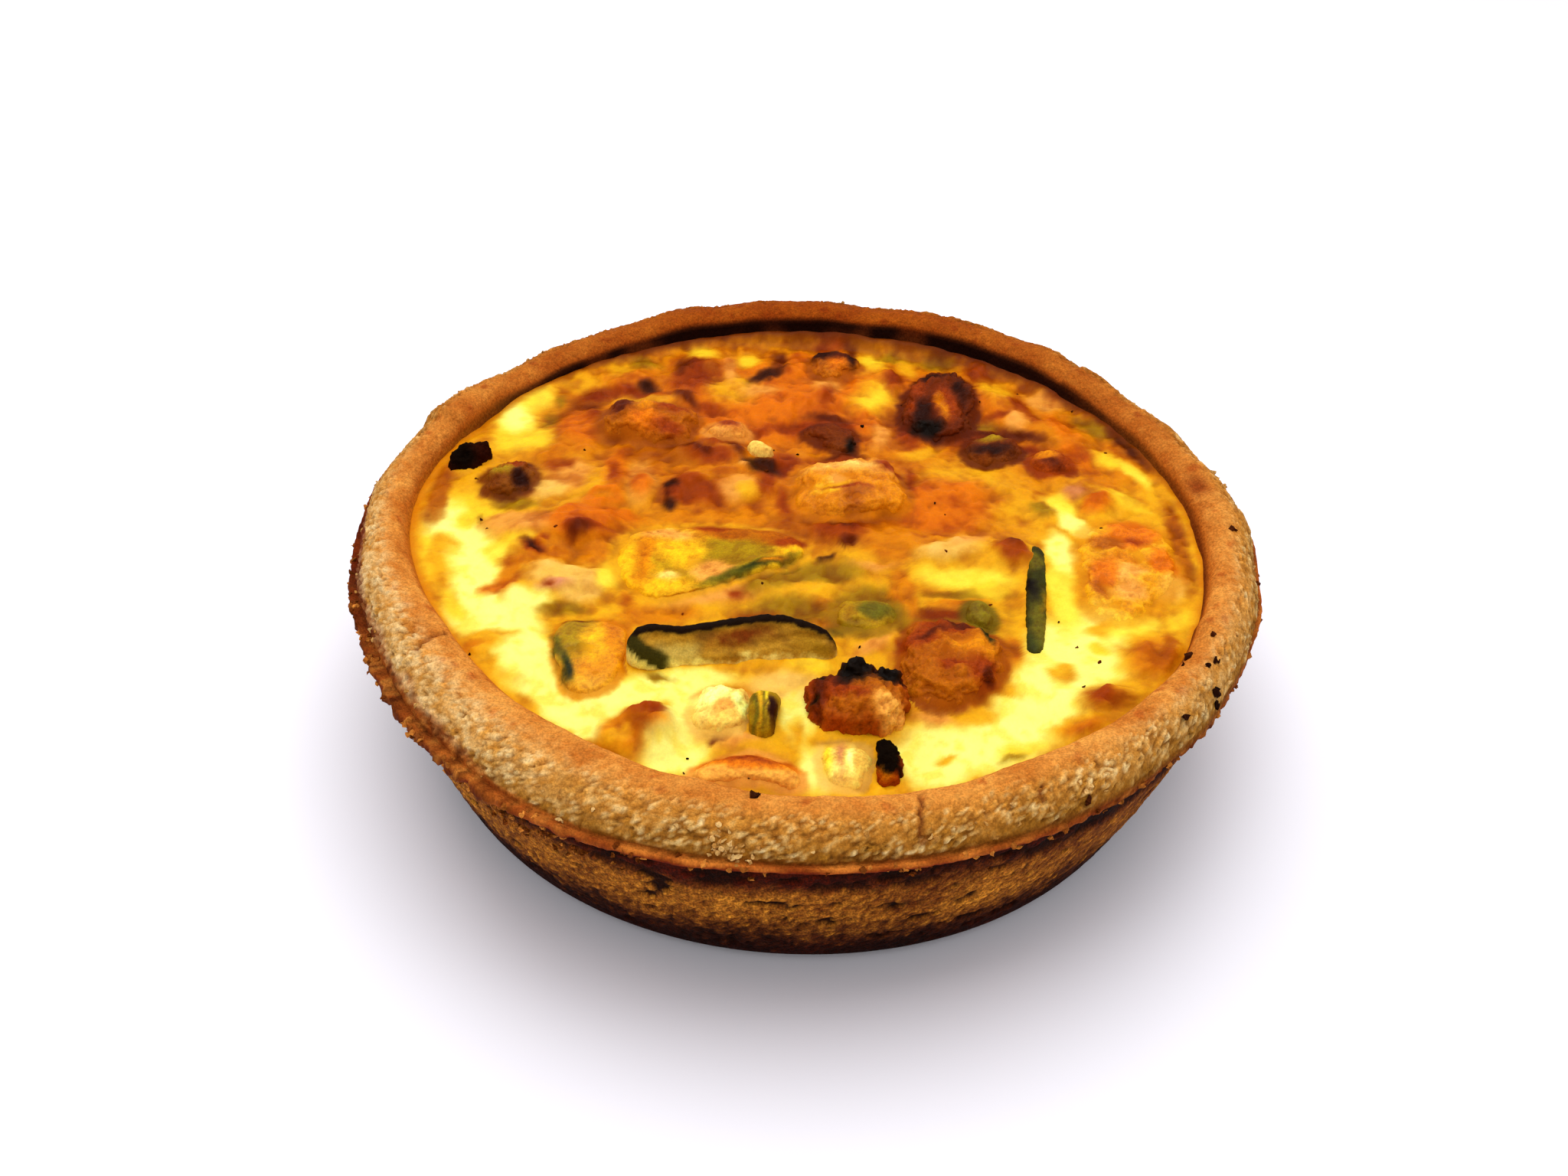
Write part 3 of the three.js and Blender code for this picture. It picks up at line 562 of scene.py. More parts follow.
def baked(name, roughness, grain, bump, scatter, coat, contrast, shine, layers=1.0, fleck=0.1, low_fleck=0.0):
    """A material that reads tint, with grain of a size in millimetres. Layers flattens the grain upright."""
    material = bpy.data.materials.new(name)
    material.use_nodes = True
    tree = material.node_tree
    tint = add_node(tree, "ShaderNodeAttribute", {}, attribute_name="tint").outputs["Color"]
    place = add_node(tree, "ShaderNodeTexCoord", {}).outputs["Object"]
    height = add_node(tree, "ShaderNodeSeparateXYZ", {"Vector": place}).outputs["Z"]
    flat = add_node(tree, "ShaderNodeMapping", {"Vector": place, "Scale": (1, 1, layers)}).outputs["Vector"]
    noise = noise_in(tree, flat, 1 / (grain * MM), 4, 0.6)
    specks = noise_in(tree, flat, 2.3 / (grain * MM), 2)
    shade = remap(tree, noise, (0.25, 0.75), (1 - contrast, 1 + contrast))
    flecks = remap(tree, specks, (0.36, 0.64), (1 - 1.2 * fleck, 1 + fleck))
    power = remap(tree, height, FLECKED_BELOW, (1 + low_fleck, 1))
    sharper = add_node(tree, "ShaderNodeMath", {0: flecks, 1: power}, operation="POWER").outputs["Value"]
    both = add_node(tree, "ShaderNodeMath", {0: shade, 1: sharper}, operation="MULTIPLY").outputs["Value"]
    grained = add_node(tree, "ShaderNodeMix", {"Factor": 1, "A": tint, "B": both}, data_type="RGBA",
                       blend_type="MULTIPLY")
    relief = add_node(tree, "ShaderNodeBump", {"Height": noise, "Strength": bump, "Distance": grain * MM})
    set_inputs(tree, tree.nodes["Principled BSDF"], {
        "Base Color": grained.outputs["Result"],
        "Normal": relief.outputs["Normal"],
        "Roughness": remap(tree, noise, (0, 1), (roughness - GLOSS_SPREAD, roughness + GLOSS_SPREAD)),
        "Specular IOR Level": shine,
        "Subsurface Weight": scatter,
        "Subsurface Radius": (1.0, 0.5, 0.15),
        "Subsurface Scale": 1.2 * MM,
        "Coat Weight": coat,
        "Coat Roughness": 0.25,
    })
    return material


# Roughness, grain, bump, scatter, coat, contrast and shine of each finish
LOOKS = {
    "courgette": (0.5, 0.5, 0.3, 0.05, 0.0, 0.15, 0.03),
    "pepper_green": (0.35, 0.5, 0.2, 0.08, 0.03, 0.12, 0.06),
    "roasted": (0.5, 0.6, 0.35, 0.06, 0.02, 0.16, 0.04),
    "fish": (0.42, 0.6, 0.25, 0.08, 0.03, 0.12, 0.06),
    "pale_flesh": (0.4, 0.6, 0.2, 0.08, 0.03, 0.12, 0.06),
    "mushroom": (0.5, 0.45, 0.4, 0.05, 0.02, 0.2, 0.04),
    "burnt": (0.7, 0.35, 0.8, 0.0, 0.0, 0.3, 0.02),
    "green_vegetable": (0.42, 0.4, 0.25, 0.05, 0.02, 0.12, 0.04),
}
FINISHES = {name: baked(name, *look) for name, look in LOOKS.items()}
FINISHES["baked_dough"] = baked("baked_dough", 0.75, 0.6, 0.8, 0.0, 0.0, 0.22, 0.03, layers=0.7, fleck=0.16,
                                low_fleck=1.8)
FINISHES["baked_custard"] = baked("baked_custard", 0.35, 0.7, 0.15, 0.08, 0.0, 0.06, 0.03, fleck=0.03)
print(len(FINISHES), "finishes")

# %% [markdown]
# ## The shell of shortcrust
#
# The dough was pressed into a smooth mould, so the outer wall is a plain cone, and its top was folded over
# by hand, so the rim strays from a circle, steps up where folds overlap and stands out past the wall in a
# thin ledge. Its section is one outline whose points move with the angle. That outline is swept round the
# middle in fine steps, smoothed along its length, and then pushed out and in along its own normals for the
# crumb.

# %% Sizes of the shell
RIM_RADIUS = 60
RIM_INNER_RADIUS = 52.2
RIM_HEIGHT = 30.8
LEDGE_HEIGHT = 26.5
LEDGE_THICKNESS = 1.4
LEDGE_OVERHANG = 1.7
FOOT_RADIUS = 50.8
FOOT_ROUNDING = 1.8
RIM_SHIFT = 1.2  # the rim sits this far to the right of the foot
FLOOR_THICKNESS = 4.6
WALL_THICKNESS = 5.2
WALL_BULGE = 0.5
WALL_TOP_HEIGHT = 27.4
UNDER_RIM = 0.3
INNER_CORNER = 2.5

# How far the hand-pressed rim strays from round and level, every 30 degrees anticlockwise from +X
OUTER_STRAY = [0.3, 0.2, 0.2, 0.0, -0.8, -0.5, 0.2, -0.4, 1.1, -0.4, -0.3, -0.1]
INNER_STRAY = [0.7, 0.4, 0.3, 0.0, -0.4, 0.4, 1.3, -1.3, -1.6, -0.3, -0.5, 0.8]
FOOT_STRAY = [0.9, 0.3, 0.0, 0.0, 0.0, 0.0, 0.0, 0.3, 0.8, 1.0, 1.5, 1.4]
CREST_STRAY = [0.2, -0.3, 0.3, 0.1, -0.2, -0.5, -0.1, 0.2, 0.0, -0.2, 0.1, 0.1]

# Where folds overlap: angle in degrees, rise, and the degrees over which it fades again, clockwise
OVERLAPS = [(161, 1.0, 16), (43, 0.8, 9), (4, 0.4, 7), (340, 0.4, 6)]
OVERLAP_STEP = 1.5

# The rim's section: share of the way from its inner edge to the ledge, and depth below the crest
RIM_SECTION = [
    (0, 1.5), (0.12, 0.5), (0.3, 0), (0.52, 0.25), (0.7, 0.95), (0.84, 2.1), (0.91, 3.3), (0.945, 4.3),
]


# %% The shell's outline at an angle
def around(values, turn):
    """A smooth closed curve through evenly spaced values, read at angles in degrees."""
    values = np.array(values, dtype=float)
    place = (turn % 360) / 360 * len(values)
    first = np.floor(place).astype(int)
    t = place - first
    a, b, c, d = (values[(first + k) % len(values)] for k in (-1, 0, 1, 2))
    return b + 0.5 * t * (c - a + t * (2 * a - 5 * b + 4 * c - d + t * (3 * (b - c) + d - a)))


def overlap_rise(turn):
    """How far the overlaps of the folds lift the rim at each angle."""
    total = 0
    for start, rise, fade in OVERLAPS:
        past = (start - turn) % 360
        total = total + rise * ease(past / OVERLAP_STEP) * (1 - ease((past - OVERLAP_STEP) / fade))
    return total


def finger_waves(turn):
    """Small waves that fingers left round the rim."""
    a = np.radians(turn)
    return 0.22 * np.sin(7 * a + 1.1) + 0.14 * np.sin(17 * a) + 0.1 * np.sin(29 * a + 2)


def ledge_radius(turn):
    shifted = RIM_RADIUS + RIM_SHIFT * np.cos(np.radians(turn))
    return shifted + around(OUTER_STRAY, turn) + 0.8 * finger_waves(turn)


def inner_radius(turn):
    shifted = RIM_INNER_RADIUS + RIM_SHIFT * np.cos(np.radians(turn))
    return shifted + around(INNER_STRAY, turn) - 0.5 * overlap_rise(turn)


def inner_wall_radius(turn, height):
    """The inner wall leans in towards the floor, as the outer one does."""
    share = np.clip((height - FLOOR_THICKNESS) / (WALL_TOP_HEIGHT - FLOOR_THICKNESS), 0, 1)
    return mixed(FOOT_RADIUS - WALL_THICKNESS, inner_radius(turn) - UNDER_RIM, share)


def shell_outline(turn):
    """Radius and height of the section's corners at each angle, from under the middle to the inner floor."""
    ledge = ledge_radius(turn)
    crest = RIM_HEIGHT + around(CREST_STRAY, turn) + finger_waves(turn) + overlap_rise(turn)
    ledge_top = LEDGE_HEIGHT + 0.4 * finger_waves(turn)
    wall_top = ledge - LEDGE_OVERHANG
    foot = FOOT_RADIUS + around(FOOT_STRAY, turn)
    under_ledge = ledge_top - LEDGE_THICKNESS
    corners = [
        (0, 0),
        (foot - FOOT_ROUNDING, 0),
        (foot - FOOT_ROUNDING / 3, FOOT_ROUNDING / 3),
        (foot, FOOT_ROUNDING),
    ]
    for share in (1 / 3, 2 / 3):
        out = mixed(foot, wall_top, share) + WALL_BULGE
        corners.append((out, mixed(FOOT_ROUNDING, under_ledge, share)))
    corners += [
        (wall_top, under_ledge),
        (ledge - 0.4, ledge_top - LEDGE_THICKNESS * 0.8),
        (ledge, ledge_top - LEDGE_THICKNESS * 0.4),
        (ledge - 0.15, ledge_top),
    ]
    for across, drop in reversed(RIM_SECTION):
        corners.append((mixed(inner_radius(turn), ledge, across), crest - drop))
    for height in (WALL_TOP_HEIGHT, WALL_TOP_HEIGHT / 2, FLOOR_THICKNESS + INNER_CORNER):
        corners.append((inner_wall_radius(turn, height), height))
    corners += [(FOOT_RADIUS - WALL_THICKNESS - INNER_CORNER, FLOOR_THICKNESS), (0, FLOOR_THICKNESS)]
    blank = np.zeros_like(turn)
    return np.array([(radius + blank, height + blank) for radius, height in corners])


# The corners are numbered outwards and up, and the rows between two corners have a number between theirs
FOOT, LEDGE, RIM, CREST, INNER_EDGE, INNER_WALL, FLOOR = 1, 6, 10, 14.6, 16.5, 18, 22
outline = shell_outline(np.array([270.0]))[:, :, 0]
print("section corners:", len(outline), "- ledge at radius", outline[8, 0].round(1))

# %% The swept shell
SHELL_STEPS = 760
SHELL_PASSES = 5
# Length of the rows in millimetres, up to each corner
STRETCHES = {FOOT: 7.0, LEDGE: 0.55, RIM - 1: 0.32, INNER_EDGE + 0.5: 0.34, INNER_WALL: 0.5, FLOOR: 3.0}


def shell_rows(turn):
    """The outline with evenly spread rows between its corners, and the corner number of each row."""
    corners = shell_outline(turn)
    mean = corners.mean(axis=2)
    rows = []
    for k in range(len(mean) - 1):
        fineness = next(size for end, size in STRETCHES.items() if k + 1 <= end)
        steps = max(1, round(float(np.linalg.norm(mean[k + 1] - mean[k]) / fineness)))
        rows += [k + i / steps for i in range(steps)]
    rows = np.array(rows + [len(mean) - 1.0])
    low = np.minimum(rows.astype(int), len(mean) - 2)
    section = mixed(corners[low], corners[low + 1], (rows - low)[:, None, None])
    for _ in range(SHELL_PASSES):
        section[1:-1] = (section[:-2] + 2 * section[1:-1] + section[2:]) / 4
    section[:3, 1] = 0
    return rows, section


turn = np.arange(SHELL_STEPS) * 360 / SHELL_STEPS
rows, section = shell_rows(turn)
ring = np.radians(turn)
low_corner, high_corner = (np.array(corner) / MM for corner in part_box("crust"))
swept = np.stack([section[:, 0] * np.cos(ring), section[:, 0] * np.sin(ring), section[:, 1]], axis=2)
FRAME_SHIFT = (low_corner + high_corner)[:2] / 2 - (swept.min(axis=(0, 1)) + swept.max(axis=(0, 1)))[:2] / 2
swept[:, :, :2] += FRAME_SHIFT
print("rows", len(rows), "- shift to the frame", FRAME_SHIFT.round(2))


# %% Crumb, flakes and folds of the shell
def facing(angle, middle, reach):
    """1 at an angle in degrees, fading to 0 at `reach` degrees from it."""
    away = np.abs((angle - middle + 180) % 360 - 180)
    return ease(1 - away / reach)


def grid_normals(grid):
    """Outward directions of a grid that closes on itself sideways."""
    along = np.roll(grid, -1, axis=1) - np.roll(grid, 1, axis=1)
    across = np.gradient(grid, axis=0)
    normal = np.cross(along, across)
    return normal / np.maximum(np.linalg.norm(normal, axis=2, keepdims=True), 1e-9)


# Cracks in the rim: angle, first and last corner number that it runs between, and its lean in degrees
CRACKS = [(-76.5, 11.2, 15.6, 1.2), (215.5, 13.4, 16.5, -1.6), (-62.5, 12.5, 13.8, 0.7)]
CRACK_WIDTH, CRACK_DEPTH = 0.5, 0.6
DENT_ANGLE, DENT_REACH, DENT_DEPTH = 8.5, 2.2, 0.7
FLAKE_HEIGHT, BAND_PIT_DEPTH, WALL_PIT_DEPTH, GASH_DEPTH = 0.42, 0.35, 0.2, 0.35
COARSE_FLAKES, FINE_FLAKES = (1.7, 2.6, 41), (0.95, 1.5, 51)  # spacing, stretch and seed

# Sides of the quiche where something is stronger: middle and reach in degrees
SIDES = {
    "crumbling": (222, 40), "browned": (205, 56), "broken": (318, 34), "gashed": (312, 30),
    "shaded": (312, 40), "back": (88, 105), "lip shadow": (188, 24), "shaded inside": (350, 75),
    "floury left": (208, 58), "floury right": (330, 40),
    "custard back": (80, 95), "custard left": (178, 50), "custard front": (268, 60),
}


def side(name):
    """1 on one side of the shell, fading to 0 away from it."""
    return facing(angle_of, *SIDES[name])


row_of = np.repeat(rows, SHELL_STEPS)
angle_of = np.tile(turn, len(rows))
places = swept.reshape(-1, 3)
height_of = places[:, 2]
normals = grid_normals(swept).reshape(-1, 3)
row_lengths = np.linalg.norm(np.diff(section.mean(axis=2), axis=0), axis=1)
length_of = np.repeat(np.concatenate([[0], np.cumsum(row_lengths)]), SHELL_STEPS)

on_wall = between(row_of, 3.2, 6.0, 0.6)
on_ledge = between(row_of, 6.5, 9.6, 0.8)
on_band = between(row_of, 10.3, 14.4, 1.2)
on_crest = between(row_of, 13.6, 16.8, 1.4)
on_rim = between(row_of, 9.8, 17.2, 0.8)
crumbling, browned, broken = side("crumbling"), side("browned"), side("broken")

unrolled = np.column_stack([np.radians(angle_of) * RIM_RADIUS, length_of, np.zeros(len(places))])


def streaks(long, tall, seed):
    """Hills on the unrolled shell, of a length round it and a height up it."""
    return hills(unrolled * (1 / long, 1 / tall, 1), 1.0, seed)


def scarps(spacing, stretch, seed):
    """Broken steps that run along the rim: how far up its step each point is, and where there are steps."""
    drift = unrolled * (1 / stretch, 1 / (0.6 * stretch), 1)
    phase = length_of / spacing + 1.2 * hills(drift, 1.0, seed) + 0.6 * hills(drift * 2.3, 1.0, seed + 1)
    phase = phase + 0.3 * hills(drift * 5, 1.0, seed + 2)
    present = ease(0.62 + 1.1 * streaks(6, 2.4, seed + 3))
    return phase - np.floor(phase), present


coarse_step, coarse_present = scarps(*COARSE_FLAKES)
fine_step, fine_present = scarps(*FINE_FLAKES)
flakes = ((coarse_step - 0.5) * coarse_present + 0.55 * (fine_step - 0.5) * fine_present) * on_band
upright = places * np.where(row_of < 6.5, 0.75, 1.0)[:, None] ** (0, 0, 1)
crumb = rough(upright, 1.1, 44)
fine_crumb = rough(upright, 0.55, 47, 2)
sponge = rough(upright, 1.3, 45)
band_pits = pits(places, 1.25, 46, share=0.3, width=0.4) * on_band
wall_pits = pits(places, 1.3, 48, share=0.4, width=0.45) * on_wall
soft_waves = hills(places, 4.5, 49)
broad_waves = hills(places, 11.0, 50)
gash_field = streaks(4.2, 1.8, 61) + 0.35 * streaks(1.2, 1.1, 62)
gashes = ease((gash_field + 0.1 + 0.3 * side("gashed")) / 0.35)
gashes *= between(height_of, 19.6, 25.8, 3.0) * (row_of < 7)
low_gashes = ease((gash_field - 0.42) / 0.25) * between(height_of, 3, 21, 4) * on_wall
gashes = np.maximum(gashes, low_gashes)

cracks = np.zeros(len(places))
for middle, first, last, lean in CRACKS:
    share = (row_of - first) / (last - first)
    wander = hills(np.column_stack([5 * share, share * 0, share * 0]), 1.0, 63) + 0.5 * np.sin(9 * share)
    path = middle + lean * share + 0.3 * wander
    away = np.abs((angle_of - path + 180) % 360 - 180) * math.radians(1) * RIM_RADIUS
    cracks = np.maximum(cracks, (1 - ease(away / CRACK_WIDTH)) * between(share, 0.05, 0.95, 0.1))

from_dent = (angle_of - DENT_ANGLE + 180) % 360 - 180
dent = np.exp(-(from_dent / DENT_REACH) ** 2) * between(row_of, 14.8, 16.6, 1.2)
on_lip = between(row_of, 7.0, 9.3, 0.8)
lip_crease = between(row_of, 9.5, 10.3, 0.5)
push = FLAKE_HEIGHT * flakes + 0.14 * crumb * on_band - BAND_PIT_DEPTH * band_pits
push += (1 - broken) * (0.35 * on_lip - 0.3 * lip_crease)
push += on_crest * (0.2 * soft_waves + 0.1 * fine_crumb + 0.1 * crumb) + 0.25 * on_rim * broad_waves
wall_crumb = on_wall * (0.06 * sponge + 0.06 * crumb + 0.16 * fine_crumb)
push += wall_crumb - WALL_PIT_DEPTH * wall_pits - GASH_DEPTH * gashes
lip_crumb = (0.4 + 0.8 * sponge + 0.3 * crumb) * crumbling
push += on_ledge * (0.1 * crumb + 0.08 * fine_crumb + 0.3 * browned + lip_crumb)
push += on_ledge * broken * (0.4 * sponge + 0.3 * crumb - 0.35)
push += crumbling * on_wall * ease((height_of - 14) / 8) * (0.5 * crumb + 0.4 * sponge)
push -= CRACK_DEPTH * cracks + DENT_DEPTH * dent
shaped = places + normals * push[:, None]
shaped[:, 2] = np.maximum(shaped[:, 2], 0.0)
print("push from", push.min().round(2), "to", push.max().round(2), "mm")


# %% Colours of the shell
TONES.update({
    "wall_dark": (78, 29, 3), "wall_light": (226, 146, 44), "foot_shade": (64, 20, 8),
    "shade_under_lip": (96, 34, 18), "gash": (26, 6, 1),
    "band_low": (142, 90, 22), "band_high": (214, 138, 52), "band_crease_shade": (112, 56, 12),
    "flake_highlight": (255, 226, 164), "flake_shade": (112, 64, 16), "pore": (104, 54, 14),
    "crest_dark": (184, 94, 26), "crest_light": (236, 158, 70), "crest_inside": (186, 96, 24),
    "red_spot": (166, 70, 20), "dent": (120, 40, 8),
    "lip_lower_shade": (112, 32, 3), "lip_highlight": (220, 126, 46), "lip_baked": (168, 134, 96),
    "lip_shadow": (176, 120, 80), "lip_crumb": (216, 150, 66), "lip_break": (82, 32, 5),
    "inside": (190, 112, 22), "inside_back_shade": (26, 6, 2), "inside_right_shade": (92, 36, 6),
    "inside_spot": (126, 58, 14),
    "flour": (244, 212, 156), "back_bake": (184, 132, 50), "crack": (104, 46, 16),
})
at_back = side("back")

# The wall: golden brown at half height, with painted shade at the foot, under the lip, in its pits and in its
# dark broken gashes
wall_share = 0.45 + 0.16 * sponge + 0.12 * crumb + 0.6 * fine_crumb + 0.3 * broad_waves
wall_share += (0.5 * crumb - 0.15) * side("shaded") * ease((height_of - 12) / 8)
wall_tone = shade_between("wall_dark", "wall_light", wall_share)
clear_of_foot_shade = ease((height_of + 3.5 * sponge + 1.5 * fine_crumb - 3.0) / 11.0)
# Painted shade at the foot of the wall
wall_tone = darkened(wall_tone, "foot_shade", 1 - clear_of_foot_shade)
lip_shade_share = ease((height_of + 1.5 * broad_waves + 1.5 * sponge - 17.6) / 4.4)
# Painted shade under the overhanging lip
wall_tone = darkened(wall_tone, "shade_under_lip", lip_shade_share)
# Painted shade in the pits and the gashes
wall_tone *= (1 - 0.45 * wall_pits)[:, None]
wall_tone = dyed(wall_tone, "gash", 0.95 * gashes)

# The band: olive brown low down, tan above, lighter up each step and darker down it as painted light, with
# painted highlights on the upper edges of its steps, painted shade at their feet, in its pores and in the
# crease above the lip
band_share = (row_of - RIM) / (CREST - RIM)
band_tone = shade_between("band_low", "band_high", band_share * 1.1 + 0.16 * crumb + 0.2 * soft_waves)
# Painted light that follows the steps: lighter up each step, darker at its foot
band_tone = band_tone * (1 + 0.4 * flakes[:, None] * (0.8, 1.0, 1.3))
# Painted highlights on the upper edges of the steps and painted shade at their feet
for step, present in ((coarse_step, coarse_present), (fine_step, 0.7 * fine_present)):
    edge_highlight_share = between(step, 0.7, 0.97, 0.16) * present * on_band * ease(0.5 + 1.1 * crumb)
    band_tone = dyed(band_tone, "flake_highlight", 0.85 * edge_highlight_share)
    band_tone = dyed(band_tone, "flake_shade", 0.6 * (1 - ease(step / 0.24)) * present * on_band)
# Painted shade in the pores
band_tone = dyed(band_tone, "pore", 0.85 * band_pits)
# Painted shade in the crease where the band meets the lip
band_tone = dyed(band_tone, "band_crease_shade", 0.75 * (1 - ease((row_of - RIM) / 1.2)))

# The crest: peach tan, redder in spots, with painted shade in the dent
crest_share = 0.55 + 0.5 * soft_waves + 0.35 * crumb + 0.2 * fine_crumb
crest_tone = shade_between("crest_dark", "crest_light", crest_share)
crest_tone = dyed(crest_tone, "crest_inside", ease((row_of - 16.2) / 1.2))
crest_tone = dyed(crest_tone, "red_spot", 0.6 * ease((hills(places, 1.9, 71) - 0.45) / 0.25) * on_crest)
# Painted shade in the dent
crest_tone = dyed(crest_tone, "dent", 0.8 * dent)

# The lip: orange brown, with a painted highlight along its upper edge, painted shade on its lower side, light
# streaks along it as a painted sheen and a painted shadow on its left side; ragged where it crumbles or is
# broken, with pale tan on the raised crumbs that is partly a painted highlight
# Painted highlight along the upper edge and painted shade on the lower side, with light streaks as a painted
# sheen
lip_share = 0.05 + 0.72 * ease((row_of - 7.1) / 2.0) + 0.6 * streaks(4.5, 0.7, 72) + 0.15 * crumb
lip_tone = shade_between("lip_lower_shade", "lip_highlight", lip_share)
lip_tone = darkened(lip_tone, "lip_baked", np.maximum(browned * ease(0.7 + 0.6 * broad_waves), broken))
lip_tone = darkened(lip_tone, "lip_shadow", side("lip shadow"))
ragged = np.maximum(crumbling, broken)
# Pale tan on the raised crumbs: the crumbs' own colour, partly a painted highlight
lip_tone = dyed(lip_tone, "lip_crumb", 0.5 * ragged * ease(0.3 + 1.3 * crumb))
lip_tone = dyed(lip_tone, "lip_break", 0.85 * ragged * ease(0.2 + 1.5 * sponge))

# The inner wall: painted shade at the back and on the right
inner_tone = shade_between("inside", "inside_back_shade", ease(1.5 * at_back))
inner_tone = dyed(inner_tone, "inside_right_shade", side("shaded inside") * (1 - at_back))
inner_spots = ease(0.1 + 1.3 * hills(places * (1, 1, 0.5), 4.5, 74)) * at_back
inner_tone = dyed(inner_tone, "inside_spot", 0.75 * inner_spots)

browned_to = 9.7 + 2.4 * browned + 0.4 * crumb + 0.9 * soft_waves * browned
shell_colour = wall_tone
for part_tone, share in (
    (lip_tone, ease((row_of - 5.9) / 0.6)),
    (band_tone, ease((row_of - browned_to) / 0.6)),
    (crest_tone, 0.85 * between(row_of, 14.1, 30, 1.6)),
    (inner_tone, ease((row_of - 17.0 + 0.6 * at_back) / 0.8)),
):
    shell_colour = mixed(shell_colour, part_tone, share[:, None])
floury = (0.75 * side("floury left") + 0.35 * side("floury right")) * between(row_of, 11.2, 14.8, 1.6)
shell_colour = dyed(shell_colour, "flour", floury * ease(0.55 + 0.7 * crumb))
shell_colour = darkened(shell_colour, "back_bake", at_back * on_rim)
# Painted shade in the cracks
shell_colour = np.clip(dyed(shell_colour, "crack", 0.85 * cracks), 0, 1)
print("mean colour", (shell_colour.mean(axis=0) * 255).round())


# %% The shell's mesh
def swept_faces(row_count, steps):
    """Faces between rings, closed on the axis at both ends. The ends are the first two points."""
    i = np.arange(row_count - 1)[:, None] * steps + 2
    j = np.arange(steps)[None, :]
    k = (j + 1) % steps
    sides = np.stack([i + j, i + k, i + steps + k, i + steps + j], axis=2).reshape(-1, 4).tolist()
    last = 2 + (row_count - 1) * steps
    first_fan = [(0, 2 + (n + 1) % steps, 2 + n) for n in range(steps)]
    last_fan = [(1, last + n, last + (n + 1) % steps) for n in range(steps)]
    return sides + first_fan + last_fan


inner_rings = slice(SHELL_STEPS, len(shaped) - SHELL_STEPS)
ends = np.array([shaped[:SHELL_STEPS].mean(axis=0), shaped[-SHELL_STEPS:].mean(axis=0)])
shell_points = np.vstack([ends, shaped[inner_rings]])
crust = mesh_object("crust_baked", shell_points, swept_faces(len(rows) - 2, SHELL_STEPS))
store(crust, "tint", linear(np.vstack([np.tile(shell_colour[0], (2, 1)), shell_colour[inner_rings]])))
crust.data.materials.append(FINISHES["baked_dough"])
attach(crust, "root")
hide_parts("crust")
print("crust:", len(crust.data.polygons), "faces")

# %% [markdown]
# ## The custard
#
# The custard is the soft part: it fills the shell to just below the rim, sags a little in the middle of
# its pools, blisters by the wall and creeps up around whatever stands out of it. A square grid bent into a
# disc gives even small faces everywhere, with no crowded middle as rings and spokes would have. Its height
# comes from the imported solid, and the patches, the blisters and the skin's wrinkles are added to it.

# %% The custard's grid
CUSTARD_CELLS = 296
CUSTARD_EDGE_HEIGHT = 27.0
INTO_WALL = 0.4
CUSTARD_CLEARANCE = 0.3
PROBE_MARGIN = 0.25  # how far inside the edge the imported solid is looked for
PACKED_PASSES = 14


def disc_grid(cells):
    """A square grid bent into a disc of radius 1, as x and y."""
    a, b = np.meshgrid(np.linspace(-1, 1, cells + 1), np.linspace(-1, 1, cells + 1))
    wide = np.abs(a) > np.abs(b)
    radius = np.where(wide, a, b)
    top, bottom = np.where(wide, b, a), np.where(radius == 0, 1, radius)
    angle = np.where(wide, top / bottom * np.pi / 4, np.pi / 2 - top / bottom * np.pi / 4)
    return radius * np.cos(angle), radius * np.sin(angle)


def smoothed(grid, times):
    """A grid of numbers with its small steps evened out."""
    for _ in range(times):
        padded = np.pad(grid, 1, mode="edge")
        grid = (padded[:-2, 1:-1] + padded[2:, 1:-1] + padded[1:-1, :-2] + padded[1:-1, 2:] + 4 * grid) / 8
    return grid


unit_x, unit_y = disc_grid(CUSTARD_CELLS)
grid_turn = np.degrees(np.arctan2(unit_y, unit_x)) % 360
wall_there = inner_wall_radius(grid_turn, CUSTARD_EDGE_HEIGHT)
reach_there = wall_there + INTO_WALL
grid_x = unit_x * reach_there + FRAME_SHIFT[0]
grid_y = unit_y * reach_there + FRAME_SHIFT[1]

packed_custard = tree_of(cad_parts["custard"])
packed_radius = wall_there - CUSTARD_CLEARANCE - PROBE_MARGIN
shrink = np.minimum(1, packed_radius / np.maximum(1e-6, np.hypot(unit_x, unit_y) * reach_there))
probe = np.column_stack([
    (unit_x * reach_there * shrink + FRAME_SHIFT[0]).ravel(),
    (unit_y * reach_there * shrink + FRAME_SHIFT[1]).ravel(),
])
grid_z = smoothed(heights_in(packed_custard, probe, 27.5).reshape(grid_x.shape), PACKED_PASSES)
print("custard top from", grid_z.min().round(1), "to", grid_z.max().round(1), "mm")

# %% [markdown]
# ## Toppings
#
# Each topping is one cut of roasted vegetable, mushroom or fish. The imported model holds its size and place
# as a plain solid. A copy is made even and fine by a voxel remesh, made uneven by random hills, and sunk a
# millimetre into the custard so that it is baked in. Its colours are the patches of the bake, mixed with
# tones of its own.

